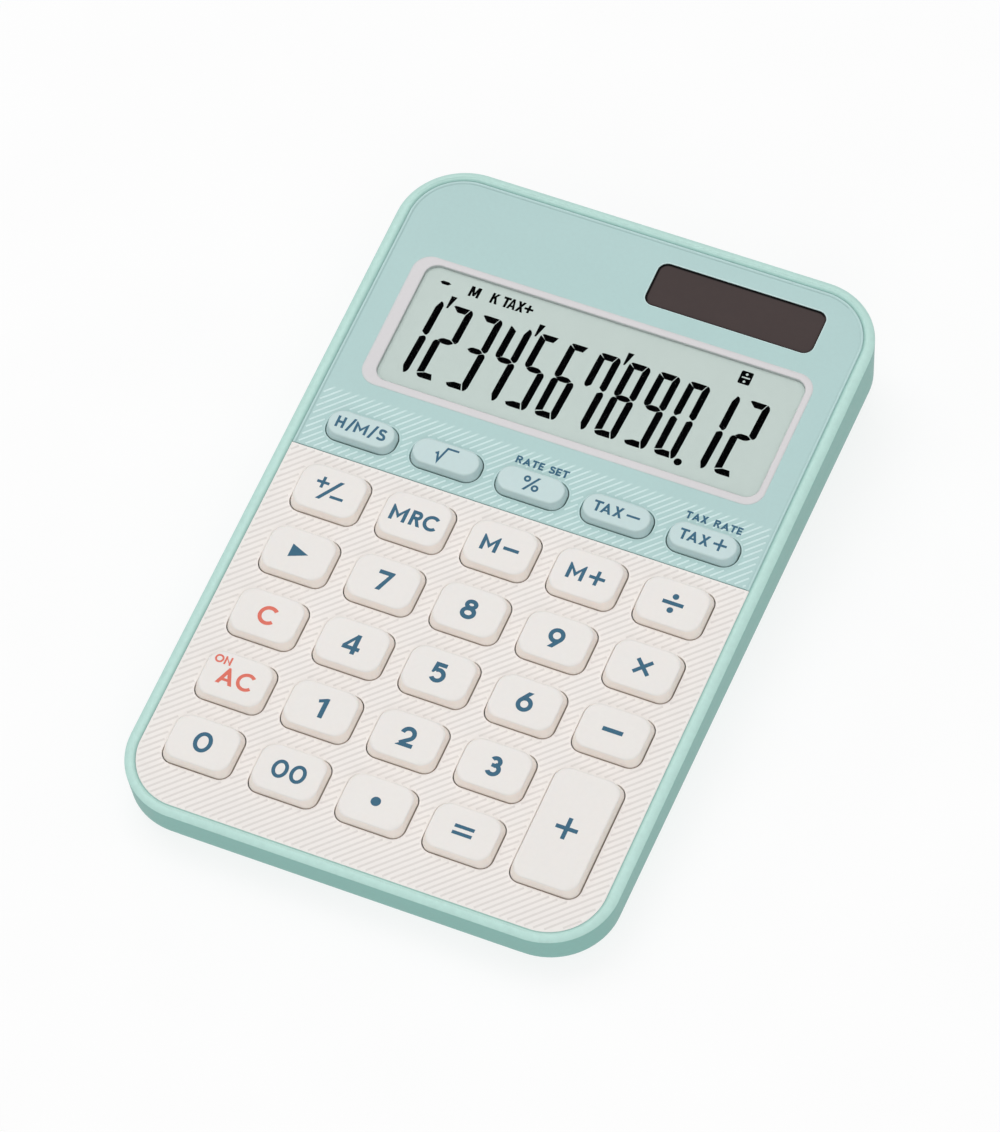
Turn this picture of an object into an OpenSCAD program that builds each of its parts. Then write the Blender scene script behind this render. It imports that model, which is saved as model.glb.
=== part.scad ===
// Desk calculator with a sloping top, twelve-digit display, solar strip and
// twenty-nine sprung keys. Millimetres, +Z up, X across the width, Y towards
// the display. The origin is on the table, under the middle of the casing.
// Most pieces are laid out on the sloping top face (z = 0 on the face plates)
// and then leaned back as one by slope().

/* [Casing] */
// Width of the casing at its widest line
body_w = 97.6; // [97:0.2:101]
// Length of the casing along its top face
body_l = 150; // [149.6:0.2:153]
// Corner radius of the casing seen from above
corner_r = 13.5; // [12.5:0.5:14.5]
// Angle between the top face and the table
tilt = 5; // [4.5:0.25:5.5]
// Depth of the table below the top face at the front edge
front_d = 9.3; // [9.2:0.1:10]
// Height of the rounded rim above the face plates
rim_h = 0.5; // [0.2:0.1:0.8]
// Width of the rim around the face plates
rim_w = 2.3; // [2.2:0.1:2.6]
// Radius of the crown across the rim
rim_r = 3.6; // [3.2:0.1:4]
// Wall thickness of the shells
wall = 1.8; // [1.6:0.1:2]
// Depth of the upper shell's side wall at the front
wall_front = 6.6; // [6.4:0.1:6.8]
// Depth of the upper shell's side wall at the back
wall_back = 12.4; // [12:0.1:12.8]

/* [Keys] */
// Distance between key columns
col_pitch = 17.39; // [17.2:0.01:17.5]
// Distance between key rows
row_pitch = 14.44; // [14.3:0.01:14.6]
// Width of an opening for a main key
key_w = 14.1; // [13.7:0.1:14.2]
// Length of an opening for a main key
key_l = 10.74; // [10.4:0.02:10.8]
// Corner radius of a main key's opening
key_r = 2.5; // [2:0.1:3]
// Height of the main keys above the face plate
key_h = 1.85; // [1.5:0.05:2.2]
// Gap between a key and its opening
key_gap = 0.3; // [0.25:0.05:0.35]
// How far a key travels when it is pressed
key_travel = 1.2; // [0.8:0.1:1.2]
// Width of an opening for a function key
pill_w = 14.46; // [14:0.02:14.5]
// Length of an opening for a function key
pill_l = 6.63; // [6.3:0.01:6.8]
// Height of the function keys above the face plate
pill_h = 1.7; // [1.4:0.05:2]

/* [Display] */
// Width of the light frame around the display
frame_w = 81.9; // [81:0.1:82.4]
// Height of the light frame around the display
frame_l = 30.3; // [30:0.1:31]
// Width of the clear window
window_w = 78.1; // [77:0.1:78.4]
// Height of the clear window
window_l = 27.5; // [27:0.1:28]
// Width of the solar strip
solar_w = 34.4; // [33:0.1:35]
// Height of the solar strip
solar_l = 9.95; // [9.4:0.05:10.2]

/* [Hidden] */
$fn = 48;
eps = 0.01;

// Colours
mint = [0.70, 0.84, 0.82];
mint_face = [0.70, 0.82, 0.81];
mint_key = [0.76, 0.86, 0.87];
cream = [0.95, 0.93, 0.91];
key_cream = [0.93, 0.91, 0.90];
frame_pink = [0.86, 0.82, 0.83];

// Levels below the face plates' surface
plate_t = 0.8;                        // face plates
deck_z = -2;                          // underside of the upper shell's deck
flange_top = deck_z - 0.05;           // key flanges hang under the deck
flange_t = 0.8;
plunger_z = -3.3;                     // lower end of a key's plunger
dome_z = plunger_z - key_travel - 0.3;// top of the rubber domes, pressed
sheet_z = -5.6;                       // top of the rubber sheet
board_z = -6.2;                       // top of the circuit board
board_t = 1;

// Slope of the parting line against the top face
part_a = atan((wall_back - wall_front) / body_l);
draft = 0.05;

// Slopes of the crowned rim at its inner and outer edge, and the height of the outer edge
rim_a0 = 3;
rim_a1 = 39;
rim_edge = rim_h - rim_r * (cos(rim_a0) - cos(rim_a1));

// Where the sloping top stands over the table
panel_z = body_l / 2 * sin(tilt) + front_d * cos(tilt);
back_reach = (body_l / 2 - draft * (wall_back + rim_edge)) * cos(tilt) + wall_back * sin(tilt);
front_reach = body_l / 2 * cos(tilt) + rim_edge * sin(tilt);
shift_y = -(back_reach - front_reach) / 2;

// Face plates
face_w = body_w - 2 * rim_w;
face_l = body_l - 2 * rim_w + 0.2;
face_r = corner_r - rim_w - 0.4;
split_y = 6.62;                       // line between the two face plates
border_h = 0.12;                      // raised border of the upper plate

// Layout of the keys
row1_y = -1.76;
pill_y = 12.88;
hole_r_pill = 2.95;
function col(i) = (i - 2) * col_pitch;
function row(j) = row1_y - j * row_pitch;
main_keys = [for (j = [0:4]) for (i = [0:4]) if (!(i == 4 && j > 2)) [i, j]];
plus_l = key_l + row_pitch;
plus_y = (row(3) + row(4)) / 2;

// Display
disp_x = 0.27;
disp_y = 38.87;
win_x = 0.95;
win_y = 38.98;
solar_x = 20.52;
solar_y = 63.47;
lcd_w = 82;
lcd_l = 34;

// Fasteners
case_posts = [[-body_w / 2 + 11.3, -body_l / 2 + 5.8, 0], [body_w / 2 - 11.3, -body_l / 2 + 5.8, 0],
    [-body_w / 2 + 7.2, body_l / 2 - 15.2, 1], [body_w / 2 - 7.2, body_l / 2 - 15.2, 1]];
seat_front = -7.9;
seat_back = -11;
post_front = -6.8;
post_back = -9;
board_posts = [[-1.5 * col_pitch, row(0) - row_pitch / 2], [1.5 * col_pitch, row(0) - row_pitch / 2],
    [-0.5 * col_pitch, row(3) - row_pitch / 2], [0.5 * col_pitch, row(3) - row_pitch / 2]];
bracket_posts = [[-43.3, 30], [43.3, 30], [-43.3, 52], [43.3, 52]];
bracket_z = -6.1;

// Battery, in the table's own frame
cell_x = -24;
cell_y = 40;
cell_r = 5.8;
cell_t = 3.1;
base_z = 1;                           // underside of the lower shell
floor_z = 2.5;                        // inside of its floor

// Table frame to sloping frame
function face_depth(y, zt) = (zt - panel_z - y * sin(tilt)) / cos(tilt);

// ---- helpers ----

// Flat rounded rectangle
module rr(w, l, r) {
    square([w - 2 * r, l], center = true);
    square([w, l - 2 * r], center = true);
    for (x = [-1, 1], y = [-1, 1]) translate([x * (w / 2 - r), y * (l / 2 - r)]) circle(r);
}

// Rounded block between two heights
module block(w, l, r, z0, z1) translate([0, 0, z0]) linear_extrude(z1 - z0) rr(w, l, r);

// Everything on the sloping top face
module slope() translate([0, shift_y, panel_z]) rotate([tilt, 0, 0]) children();

// Everything square to the table
module table() translate([0, shift_y, 0]) children();

// Half space below the parting line, raised by d
module below_parting(d = 0)
    translate([0, -body_l / 2, -wall_front + d]) rotate([-part_a, 0, 0])
        translate([-100, -60, -60]) cube([200, 320, 60]);

// A row of cylinders
module pegs(list, r, z0, z1) for (p = list) translate([p[0], p[1], z0]) cylinder(r = r, h = z1 - z0);

// Openings for all the keys, larger by g on every side
module key_openings(g, z0, z1) {
    for (k = main_keys) translate([col(k[0]), row(k[1]), 0])
        block(key_w + 2 * g, key_l + 2 * g, key_r + g, z0, z1);
    translate([col(4), plus_y, 0]) block(key_w + 2 * g, plus_l + 2 * g, key_r + g, z0, z1);
}
module pill_openings(g, z0, z1)
    for (i = [0:4]) translate([col(i), pill_y, 0])
        block(pill_w + 2 * g, pill_l + 2 * g, hole_r_pill + g, z0, z1);

// ---- casing ----

module top_skin()
    hull() {
        for (t = [rim_a0:9:rim_a1], d = rim_r * (sin(rim_a1) - sin(t)))
            translate([0, 0, rim_h - rim_r * (cos(rim_a0) - cos(t)) - eps])
                linear_extrude(eps) rr(body_w - 2 * d, body_l - 2 * d, corner_r - d, $fn = 64);
        translate([0, 0, -14]) linear_extrude(eps)
            rr(body_w - 2 * draft * (14 + rim_edge), body_l - 2 * draft * (14 + rim_edge), corner_r - 0.6, $fn = 64);
    }

module top_case() color(mint) slope()
    difference() {
        union() {
            difference() {
                top_skin();
                block(body_w - 2 * wall - 0.8, body_l - 2 * wall - 0.8, corner_r - wall, -30, deck_z);
                below_parting();
            }
            for (p = case_posts) translate([p[0], p[1], p[2] ? post_back : post_front])
                cylinder(r = 2.3, h = deck_z + 0.5 - (p[2] ? post_back : post_front));
            pegs(board_posts, 1.5, board_z, deck_z + 0.5);
            pegs(bracket_posts, 1.5, bracket_z + 1, deck_z + 0.5);
        }
        // seat of the face plates
        block(face_w + 0.24, face_l + 0.24, face_r + 0.12, -plate_t, 5);
        // key, display and solar openings through the deck
        key_openings(0.15, -3, 0);
        pill_openings(0.15, -3, 0);
        translate([disp_x, disp_y, 0]) block(lcd_w + 0.8, lcd_l + 0.8, 1, -3, 0);
        translate([solar_x, solar_y, 0]) block(solar_w - 1.6, solar_l - 1.6, 1.2, -3, 0);
        // screw pilots
        for (p = case_posts) translate([p[0], p[1], -12]) cylinder(r = 1.25, h = 12 - 2.9);
        pegs(board_posts, 0.9, -7, -3);
        pegs(bracket_posts, 0.9, -7, -2.2);
    }

module bottom_skin()
    hull() {
        slope() translate([0, -body_l / 2, -wall_front]) rotate([-part_a, 0, 0])
            translate([0, body_l / 2, -eps]) linear_extrude(eps) rr(body_w - 1.9, body_l - 1.7, corner_r - 1, $fn = 64);
        table() translate([0, -0.95, base_z + 0.7]) linear_extrude(eps) rr(body_w - 7, body_l - 5.5, corner_r - 2, $fn = 64);
        table() translate([0, -0.95, base_z]) linear_extrude(eps) rr(body_w - 8.4, body_l - 6.9, corner_r - 2.7, $fn = 64);
    }

module bottom_hollow()
    hull() {
        slope() translate([0, -body_l / 2, -wall_front]) rotate([-part_a, 0, 0])
            translate([0, body_l / 2, 0]) linear_extrude(2) rr(body_w - 6.4, body_l - 6, corner_r - 3, $fn = 48);
        table() translate([0, -0.95, floor_z]) linear_extrude(eps) rr(body_w - 10.4, body_l - 9.2, corner_r - 3.6, $fn = 48);
    }

module bottom_case() color(mint)
    difference() {
        union() {
            difference() {
                union() {
                    bottom_skin();
                    // tongue inside the upper shell
                    slope() translate([0, -body_l / 2, -wall_front]) rotate([-part_a, 0, 0])
                        translate([0, body_l / 2, -0.6]) linear_extrude(1.6) rr(body_w - 4.8, body_l - 4.8, corner_r - 2.4);
                }
                bottom_hollow();
            }
            // screw bosses
            slope() for (p = case_posts)
                translate([p[0], p[1], face_depth(p[1], base_z + 0.9)])
                    cylinder(r = 3.3, h = (p[2] ? post_back : post_front) - 0.1 - face_depth(p[1], base_z + 0.9));
            // battery bay
            table() translate([cell_x + 1.5, cell_y, 0]) block(30, 19, 2.5, base_z + 0.5, 3.4);
            table() translate([cell_x, cell_y, floor_z - 0.5]) cylinder(r = 7.6, h = 5);
            table() translate([cell_x + 11, cell_y, floor_z - 0.5]) cylinder(r = 2.2, h = 3.6);
        }
        // screw holes and their head recesses
        slope() for (p = case_posts) {
            translate([p[0], p[1], -30]) cylinder(r = 1.4, h = 30 - 2);
            translate([p[0], p[1], -30]) cylinder(r = 2.5, h = 30 + (p[2] ? seat_back : seat_front));
        }
        // foot recesses
        for (p = feet_at) translate([p[0], p[1], 0]) cylinder(r = foot_r + 0.1, h = base_z + 0.4);
        // battery bay: cover seat, cell well, screw pilot, contact slots
        table() translate([cell_x + 1.5, cell_y, 0]) block(27, 16, 1.6, 0, base_z + 1.2);
        table() translate([cell_x, cell_y, 0]) cylinder(r = 6.4, h = 12);
        table() translate([cell_x + 11, cell_y, 0]) cylinder(r = 0.9, h = 5);
        table() translate([cell_x - 8.6, cell_y - 2, 5.6]) cube([17.2, 4, 3]);
    }

foot_r = 4;
feet_at = [[-35, -60], [35, -60], [-35, 55], [35, 55]];
module rubber_feet() color([0.32, 0.34, 0.34])
    for (p = feet_at) translate([p[0], p[1], 0]) {
        cylinder(r1 = foot_r - 0.35, r2 = foot_r, h = 0.35);
        translate([0, 0, 0.35]) cylinder(r = foot_r, h = base_z + 0.38 - 0.35);
    }

// Cross-recess screw pointing up: head below z = 0, shank above
module screw(head_r, head_h, r, len)
    difference() {
        union() {
            translate([0, 0, -head_h]) cylinder(r = head_r, h = head_h);
            cylinder(r = r, h = len - r);
            translate([0, 0, len - r]) cylinder(r1 = r, r2 = r * 0.35, h = r);
        }
        for (a = [0, 90]) rotate([0, 0, a]) translate([-head_r * 0.6, -head_r * 0.14, -head_h - 1])
            cube([head_r * 1.2, head_r * 0.28, 1 + head_h * 0.55]);
    }

module case_screws() color([0.75, 0.76, 0.78]) slope()
    for (p = case_posts) translate([p[0], p[1], p[2] ? seat_back : seat_front]) screw(2.3, 0.85, 1.2, 4.5);

module inner_screws() color([0.75, 0.76, 0.78]) slope() {
    for (p = board_posts) translate([p[0], p[1], board_z - board_t]) screw(1.6, 0.9, 0.85, 3.7);
    for (p = bracket_posts) translate([p[0], p[1], bracket_z]) screw(1.6, 0.9, 0.85, 3.7);
}

// ---- face plates ----

// Upper face plate, with a fine raised border along its free edges
module display_panel() color(mint_face) slope()
    difference() {
        intersection() {
            block(face_w, face_l, face_r, -plate_t, border_h);
            translate([-100, split_y + 0.03, -5]) cube([200, 200, 10]);
        }
        block(face_w - 1.2, face_l - 1.2, face_r - 0.6, 0, 1);
        pill_openings(0, -3, 1);
        translate([disp_x, disp_y, 0]) block(frame_w + 0.1, frame_l + 0.1, 3.55, -3, 1);
        translate([solar_x, solar_y, 0]) block(solar_w, solar_l, 2, -3, 1);
    }

module keypad_panel() color(cream) slope()
    difference() {
        intersection() {
            block(face_w, face_l, face_r, -plate_t, 0);
            translate([-100, split_y - 0.03 - 200, -5]) cube([200, 200, 10]);
        }
        key_openings(0, -3, 1);
    }

// ---- display ----

module display_frame() color(frame_pink) slope()
    difference() {
        union() {
            translate([disp_x, disp_y, 0]) block(frame_w, frame_l, 3.5, -plate_t - 0.15, 0);
            translate([disp_x, disp_y, 0]) block(lcd_w + 0.4, lcd_l, 0.8, -1.06, -plate_t - 0.02);
        }
        translate([win_x, win_y, 0]) block(window_w, window_l, 2.6, -2, 1);
    }

module display_window() color([0.8, 0.88, 0.86, 0.4]) slope()
    translate([win_x, win_y, 0]) block(window_w - 0.1, window_l - 0.1, 2.55, -0.62, -0.28);

module lcd_module() color([0.75, 0.80, 0.78]) slope()
    translate([disp_x, disp_y, 0]) {
        // rear glass, front glass with the contact ledge left bare, polariser
        translate([-lcd_w / 2, -lcd_l / 2, -3]) cube([lcd_w, lcd_l, 0.95]);
        translate([-lcd_w / 2, -lcd_l / 2 + 2.6, -2.05]) cube([lcd_w, lcd_l - 2.6, 0.95]);
        translate([win_x - disp_x, win_y - disp_y, 0]) block(window_w - 0.8, window_l - 0.8, 2.2, -1.1, -0.66);
    }

module lcd_bracket() color([0.85, 0.85, 0.82]) slope()
    difference() {
        union() {
            translate([disp_x - 41, 25, -4.1]) cube([82, 31, 1.05]);
            for (s = [-1, 1]) {
                translate([s > 0 ? 40.6 : -41.8, 25, bracket_z]) cube([s > 0 ? 1.2 : 1.6, 31, -3.05 - bracket_z]);
                translate([s > 0 ? 40.6 : -45.2, 25, bracket_z]) cube([4.6, 31, 1]);
            }
            translate([-40, 40, bracket_z]) cube([80, 1, 2.1]);
        }
        pegs(bracket_posts, 1, -8, -4);
        // lead pass
        translate([36.4, 39, -7]) cube([3.6, 3, 2.6]);
        translate([-20, 39, -7]) cube([6, 3, 2.6]);
    }

module lcd_connector() color([0.82, 0.45, 0.50]) slope()
    translate([-36, 21.9, board_z]) cube([72, 1.9, -3 - board_z]);

// Shallow dark tray
module solar_window() color([0.30, 0.26, 0.26]) slope()
    translate([solar_x, solar_y, 0]) difference() {
        block(solar_w - 0.1, solar_l - 0.1, 1.95, -0.78, -0.04);
        block(solar_w - 0.5, solar_l - 0.5, 1.75, -0.42, 1);
    }

module solar_cell() color([0.20, 0.17, 0.20]) slope()
    translate([solar_x, solar_y, 0]) {
        translate([-17.6, -5.4, -3.1]) cube([35.2, 10.8, 1.05]);
        for (s = [-1, 1]) translate([s * 15.5, 0, -3.4]) cylinder(r = 1, h = 0.4);
    }

// ---- electronics ----

module key_membrane() color([0.72, 0.74, 0.74]) slope()
    difference() {
        union() {
            translate([0, -24.4, 0]) block(85, 82.4, 3, board_z, sheet_z);
            for (k = main_keys) translate([col(k[0]), row(k[1]), sheet_z - 0.1]) cylinder(r1 = 3.6, r2 = 2.5, h = dome_z - sheet_z + 0.1);
            translate([col(4), plus_y, sheet_z - 0.1]) cylinder(r1 = 3.6, r2 = 2.5, h = dome_z - sheet_z + 0.1);
            for (i = [0:4]) translate([col(i), pill_y, sheet_z - 0.1]) cylinder(r1 = 3.2, r2 = 2.3, h = dome_z - sheet_z + 0.1);
        }
        pegs(board_posts, 1.7, -8, -4);
    }

module circuit_board() color([0.42, 0.52, 0.30]) slope()
    difference() {
        translate([0, -20.3, 0]) block(87, 90.6, 2, board_z - board_t, board_z);
        pegs(board_posts, 1, -8, -4);
    }

module logic_chip() color([0.10, 0.10, 0.11]) slope() translate([0, -22, board_z - board_t]) {
    translate([0, 0, -0.5]) cylinder(r = 6.5, h = 0.5);
    translate([0, 0, -1.2]) cylinder(r1 = 4.6, r2 = 6.2, h = 0.7);
}

module capacitor() color([0.16, 0.20, 0.34]) slope() translate([18, 8, board_z - board_t - 2.6]) {
    rotate([0, 90, 0]) cylinder(r = 2.5, h = 8);
    for (s = [-1, 1]) translate([0.6, s * 1.2, 0]) rotate([0, -90, 0]) cylinder(r = 0.3, h = 2.2);
    for (s = [-1, 1]) translate([-1.3, s * 1.2, 0]) cylinder(r = 0.3, h = 2.6);
}

// Wire swept through a list of points, with a ring of eight corners at each
function unit(v) = v / norm(v);
function heading(p, i) = unit((i == 0 ? [0, 0, 0] : unit(p[i] - p[i - 1])) + (i == len(p) - 1 ? [0, 0, 0] : unit(p[i + 1] - p[i])));
module wire(p, r = 0.45) {
    n = 8;
    rings = [for (i = [0:len(p) - 1])
        let (t = heading(p, i), u = unit(cross(t, [0.31, 0.17, 0.93])), v = cross(t, u))
            for (k = [0:n - 1]) p[i] + r * (cos(k * 360 / n) * u + sin(k * 360 / n) * v)];
    polyhedron(points = rings, faces = concat(
        [[for (k = [0:n - 1]) k]],
        [for (i = [0:len(p) - 2]) for (k = [0:n - 1]) [i * n + k, (i + 1) * n + k, (i + 1) * n + (k + 1) % n]],
        [for (i = [0:len(p) - 2]) for (k = [0:n - 1]) [i * n + k, (i + 1) * n + (k + 1) % n, i * n + (k + 1) % n]],
        [[for (k = [0:n - 1]) (len(p) - 1) * n + n - 1 - k]]));
}

module solar_lead_red() color([0.75, 0.12, 0.10]) slope()
    wire([[36.2, 63.2, -3.45], [36.2, 62.8, -4.4], [36.3, 61, -5.1], [36.5, 57.5, -5.2], [38.2, 50, -5.2],
        [38.9, 42, -5.2], [38.9, 30, -5.2], [38.9, 20.4, -5.2], [38.9, 19, -5.5], [38.9, 18.6, -6.1]]);
module solar_lead_black() color([0.08, 0.08, 0.08]) slope()
    wire([[5.2, 63.2, -3.45], [5.2, 62.8, -4.4], [5.6, 61, -5.1], [7, 59, -5.2], [20, 55, -5.2], [32, 50.5, -5.2],
        [36.4, 47, -5.2], [37.6, 42.5, -5.2], [37.6, 30, -5.2], [37.6, 20.4, -5.2], [37.6, 19, -5.5], [37.6, 18.6, -6.1]]);

// Battery leads run from the contacts to the board, in the table's frame
module battery_lead_red() color([0.75, 0.12, 0.10]) table() translate([cell_x, cell_y, 0])
    wire([[6.7, -2.4, 8.3], [6.9, -5, 8.3], [7.6, -10, 8.4], [8, -16, 8.8], [8, -19.6, 9.3], [8, -20.4, 10.1]]);
module battery_lead_black() color([0.08, 0.08, 0.08]) table() translate([cell_x, cell_y, 0])
    wire([[-8, -2.3, 6], [-8, -5, 6.1], [-8, -10, 6.9], [-8, -16, 8.3], [-8, -19.6, 9.2], [-8, -20.4, 10.1]]);

module battery_cell() color([0.80, 0.80, 0.80]) table() translate([cell_x, cell_y, base_z + 1.25]) {
    cylinder(r = cell_r, h = cell_t - 0.5);
    translate([0, 0, cell_t - 0.5]) cylinder(r = cell_r - 0.7, h = 0.5);
}

module battery_contact_positive() color([0.83, 0.80, 0.66]) table()
    translate([cell_x, cell_y, 0]) {
        translate([5.85, -1.5, base_z + 1.3]) cube([0.3, 3, 6.6]);
        translate([5.85, -4.2, 7.6]) cube([0.3, 3.2, 1.3]);
    }

module battery_contact_negative() color([0.83, 0.80, 0.66]) table()
    translate([cell_x, cell_y, 0]) {
        translate([-8.4, -1.8, 5.7]) cube([13.6, 3.6, 0.3]);
        translate([0, 0, base_z + 1.25 + cell_t]) cylinder(r = 1.5, h = 5.75 - base_z - 1.25 - cell_t);
    }

module battery_cover() color(mint) table() translate([cell_x + 1.5, cell_y, 0])
    difference() {
        union() {
            block(26.7, 15.7, 1.5, base_z + 0.02, base_z + 1.18);
        }
        translate([9.5, 0, 0]) cylinder(r = 1, h = 5);
        translate([9.5, 0, 0]) cylinder(r = 2.1, h = base_z + 0.65);
        // finger grip
        for (i = [0:4]) translate([-11.4 + i * 1.2, -4, base_z - 0.1]) cube([0.6, 8, 0.4]);
    }

module battery_cover_screw() color([0.75, 0.76, 0.78]) table()
    translate([cell_x + 11, cell_y, base_z + 0.65]) screw(1.95, 0.6, 0.85, 3.2);

// ---- keys ----

// A hollow key: soft-edged cap, a shank down through the deck and a flange under it
module key(w, l, r, h, soft)
    difference() {
        union() {
            hull() {
                translate([0, 0, -1.9]) linear_extrude(2) rr(w, l, r, $fn = 32);
                translate([0, 0, 0.2]) linear_extrude(h - soft - 0.2) rr(w - 0.5, l - 0.5, r - 0.1, $fn = 32);
                translate([0, 0, 0.3]) linear_extrude(h - soft * 0.38 - 0.3) rr(w - 0.5 - soft * 0.5, l - 0.5 - soft * 0.5, r - 0.1 - soft * 0.2, $fn = 32);
                translate([0, 0, 0.4]) linear_extrude(h - 0.4) rr(w - 0.5 - soft * 1.5, l - 0.5 - soft * 1.5, r - 0.1 - soft * 0.5, $fn = 32);
            }
            block(w - 0.4, l - 0.4, r - 0.2, flange_top - 0.3, -0.5);
            block(w + 2.1, l + 2.1, r + 0.8, flange_top - flange_t, flange_top);
        }
        block(w - 2.4, l - 2.4, max(r - 1, 0.8), -5, h - 1.3);
    }
// The plunger under the cap
module key_plunger(l, h) translate([0, 0, plunger_z]) cylinder(r = min(l / 2 - 1.6, 1.9), h = h - 1 - plunger_z);

module main_key(i, y, l) color(key_cream) slope() translate([col(i), y, 0]) {
    key(key_w - 2 * key_gap, l - 2 * key_gap, key_r - 0.15, key_h, 0.5);
    key_plunger(l - 2 * key_gap, key_h);
}
module pill_key(i) color(mint_key) slope() translate([col(i), pill_y, 0]) {
    key(pill_w - 2 * key_gap, pill_l - 2 * key_gap, hole_r_pill - 0.25, pill_h, 0.7);
    key_plunger(pill_l - 2 * key_gap, pill_h);
}

module key_hms() pill_key(0);
module key_root() pill_key(1);
module key_percent() pill_key(2);
module key_tax_minus() pill_key(3);
module key_tax_plus() pill_key(4);
module key_sign() main_key(0, row(0), key_l);
module key_memory_recall() main_key(1, row(0), key_l);
module key_memory_minus() main_key(2, row(0), key_l);
module key_memory_plus() main_key(3, row(0), key_l);
module key_divide() main_key(4, row(0), key_l);
module key_shift() main_key(0, row(1), key_l);
module key_7() main_key(1, row(1), key_l);
module key_8() main_key(2, row(1), key_l);
module key_9() main_key(3, row(1), key_l);
module key_multiply() main_key(4, row(1), key_l);
module key_clear() main_key(0, row(2), key_l);
module key_4() main_key(1, row(2), key_l);
module key_5() main_key(2, row(2), key_l);
module key_6() main_key(3, row(2), key_l);
module key_minus() main_key(4, row(2), key_l);
module key_all_clear() main_key(0, row(3), key_l);
module key_1() main_key(1, row(3), key_l);
module key_2() main_key(2, row(3), key_l);
module key_3() main_key(3, row(3), key_l);
module key_plus() main_key(4, plus_y, plus_l);
module key_0() main_key(0, row(4), key_l);
module key_00() main_key(1, row(4), key_l);
module key_point() main_key(2, row(4), key_l);
module key_equals() main_key(3, row(4), key_l);

top_case();
bottom_case();
display_panel();
keypad_panel();
display_frame();
display_window();
lcd_module();
lcd_bracket();
lcd_connector();
solar_window();
solar_cell();
key_membrane();
circuit_board();
logic_chip();
capacitor();
inner_screws();
solar_lead_red();
solar_lead_black();
battery_lead_red();
battery_lead_black();
battery_cell();
battery_contact_positive();
battery_contact_negative();
battery_cover();
battery_cover_screw();
case_screws();
rubber_feet();
key_hms();
key_root();
key_percent();
key_tax_minus();
key_tax_plus();
key_sign();
key_memory_recall();
key_memory_minus();
key_memory_plus();
key_divide();
key_shift();
key_7();
key_8();
key_9();
key_multiply();
key_clear();
key_4();
key_5();
key_6();
key_minus();
key_all_clear();
key_1();
key_2();
key_3();
key_plus();
key_0();
key_00();
key_point();
key_equals();
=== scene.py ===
import math

import bpy
import bmesh
import numpy as np
from mathutils import Matrix, Vector
from mathutils.geometry import delaunay_2d_cdt


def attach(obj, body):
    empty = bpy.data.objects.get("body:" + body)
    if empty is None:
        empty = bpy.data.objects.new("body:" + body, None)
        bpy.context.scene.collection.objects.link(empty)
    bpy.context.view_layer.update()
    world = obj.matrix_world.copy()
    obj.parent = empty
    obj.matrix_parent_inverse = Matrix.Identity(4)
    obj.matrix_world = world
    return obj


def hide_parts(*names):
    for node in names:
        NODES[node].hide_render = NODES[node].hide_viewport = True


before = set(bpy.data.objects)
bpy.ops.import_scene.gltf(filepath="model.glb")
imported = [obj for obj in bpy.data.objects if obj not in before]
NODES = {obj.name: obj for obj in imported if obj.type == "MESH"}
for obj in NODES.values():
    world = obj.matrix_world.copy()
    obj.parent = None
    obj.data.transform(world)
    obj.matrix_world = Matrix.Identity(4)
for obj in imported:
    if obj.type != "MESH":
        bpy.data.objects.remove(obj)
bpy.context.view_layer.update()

# ------------------------------------------------------------------ sizes, mm
BODY_W, BODY_L, CORNER = 97.6, 150.0, 13.5
TILT = math.radians(5.0)
FRONT_D, RIM_H, RIM_W = 9.3, 0.5, 2.3
RIM_R, RIM_A0, RIM_A1 = 3.6, 3.0, 39.0
RIM_EDGE = RIM_H - RIM_R * (math.cos(math.radians(RIM_A0)) - math.cos(math.radians(RIM_A1)))
WALL_FRONT, WALL_BACK, DRAFT = 6.6, 12.4, 0.05
PART_K = (WALL_BACK - WALL_FRONT) / BODY_L
FACE_W, FACE_L, FACE_R = 93.0, 145.6, 10.8
PLATE_T, DECK_Z, SPLIT_Y = 0.8, -2.0, 6.62
COL, ROW, ROW1_Y = 17.39, 14.44, -1.76
KEY_W, KEY_L, KEY_R, KEY_GAP = 14.1, 10.74, 2.5, 0.3
PILL_W, PILL_L, PILL_R, PILL_Y = 14.46, 6.63, 2.95, 12.88
KEY_H, PILL_H = 1.85, 1.7
DISP_X, DISP_Y, WIN_X, WIN_Y = 0.27, 38.87, 0.95, 38.98
FRAME_W, FRAME_L, WINDOW_W, WINDOW_L = 81.9, 30.3, 78.1, 27.5
SOLAR_X, SOLAR_Y, SOLAR_W, SOLAR_L = 20.6, 63.47, 34.4, 9.95
LCD_Z = -0.66

PANEL_Z = BODY_L / 2 * math.sin(TILT) + FRONT_D * math.cos(TILT)
_back = (BODY_L / 2 - DRAFT * (WALL_BACK + RIM_EDGE)) * math.cos(TILT) + WALL_BACK * math.sin(TILT)
_front = BODY_L / 2 * math.cos(TILT) + RIM_EDGE * math.sin(TILT)
SHIFT_Y = -(_back - _front) / 2


def col(i):
    return (i - 2) * COL


def row(j):
    return ROW1_Y - j * ROW


def slope_pts(v):
    """Points in mm on the sloping top face, as metres in the table's frame."""
    v = np.asarray(v, float).reshape(-1, 3)
    c, s = math.cos(TILT), math.sin(TILT)
    return np.stack([v[:, 0], v[:, 1] * c - v[:, 2] * s + SHIFT_Y, v[:, 1] * s + v[:, 2] * c + PANEL_Z], 1) * 0.001


def table_pts(v):
    v = np.asarray(v, float).reshape(-1, 3)
    return (v + np.array([0, SHIFT_Y, 0])) * 0.001


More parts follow.
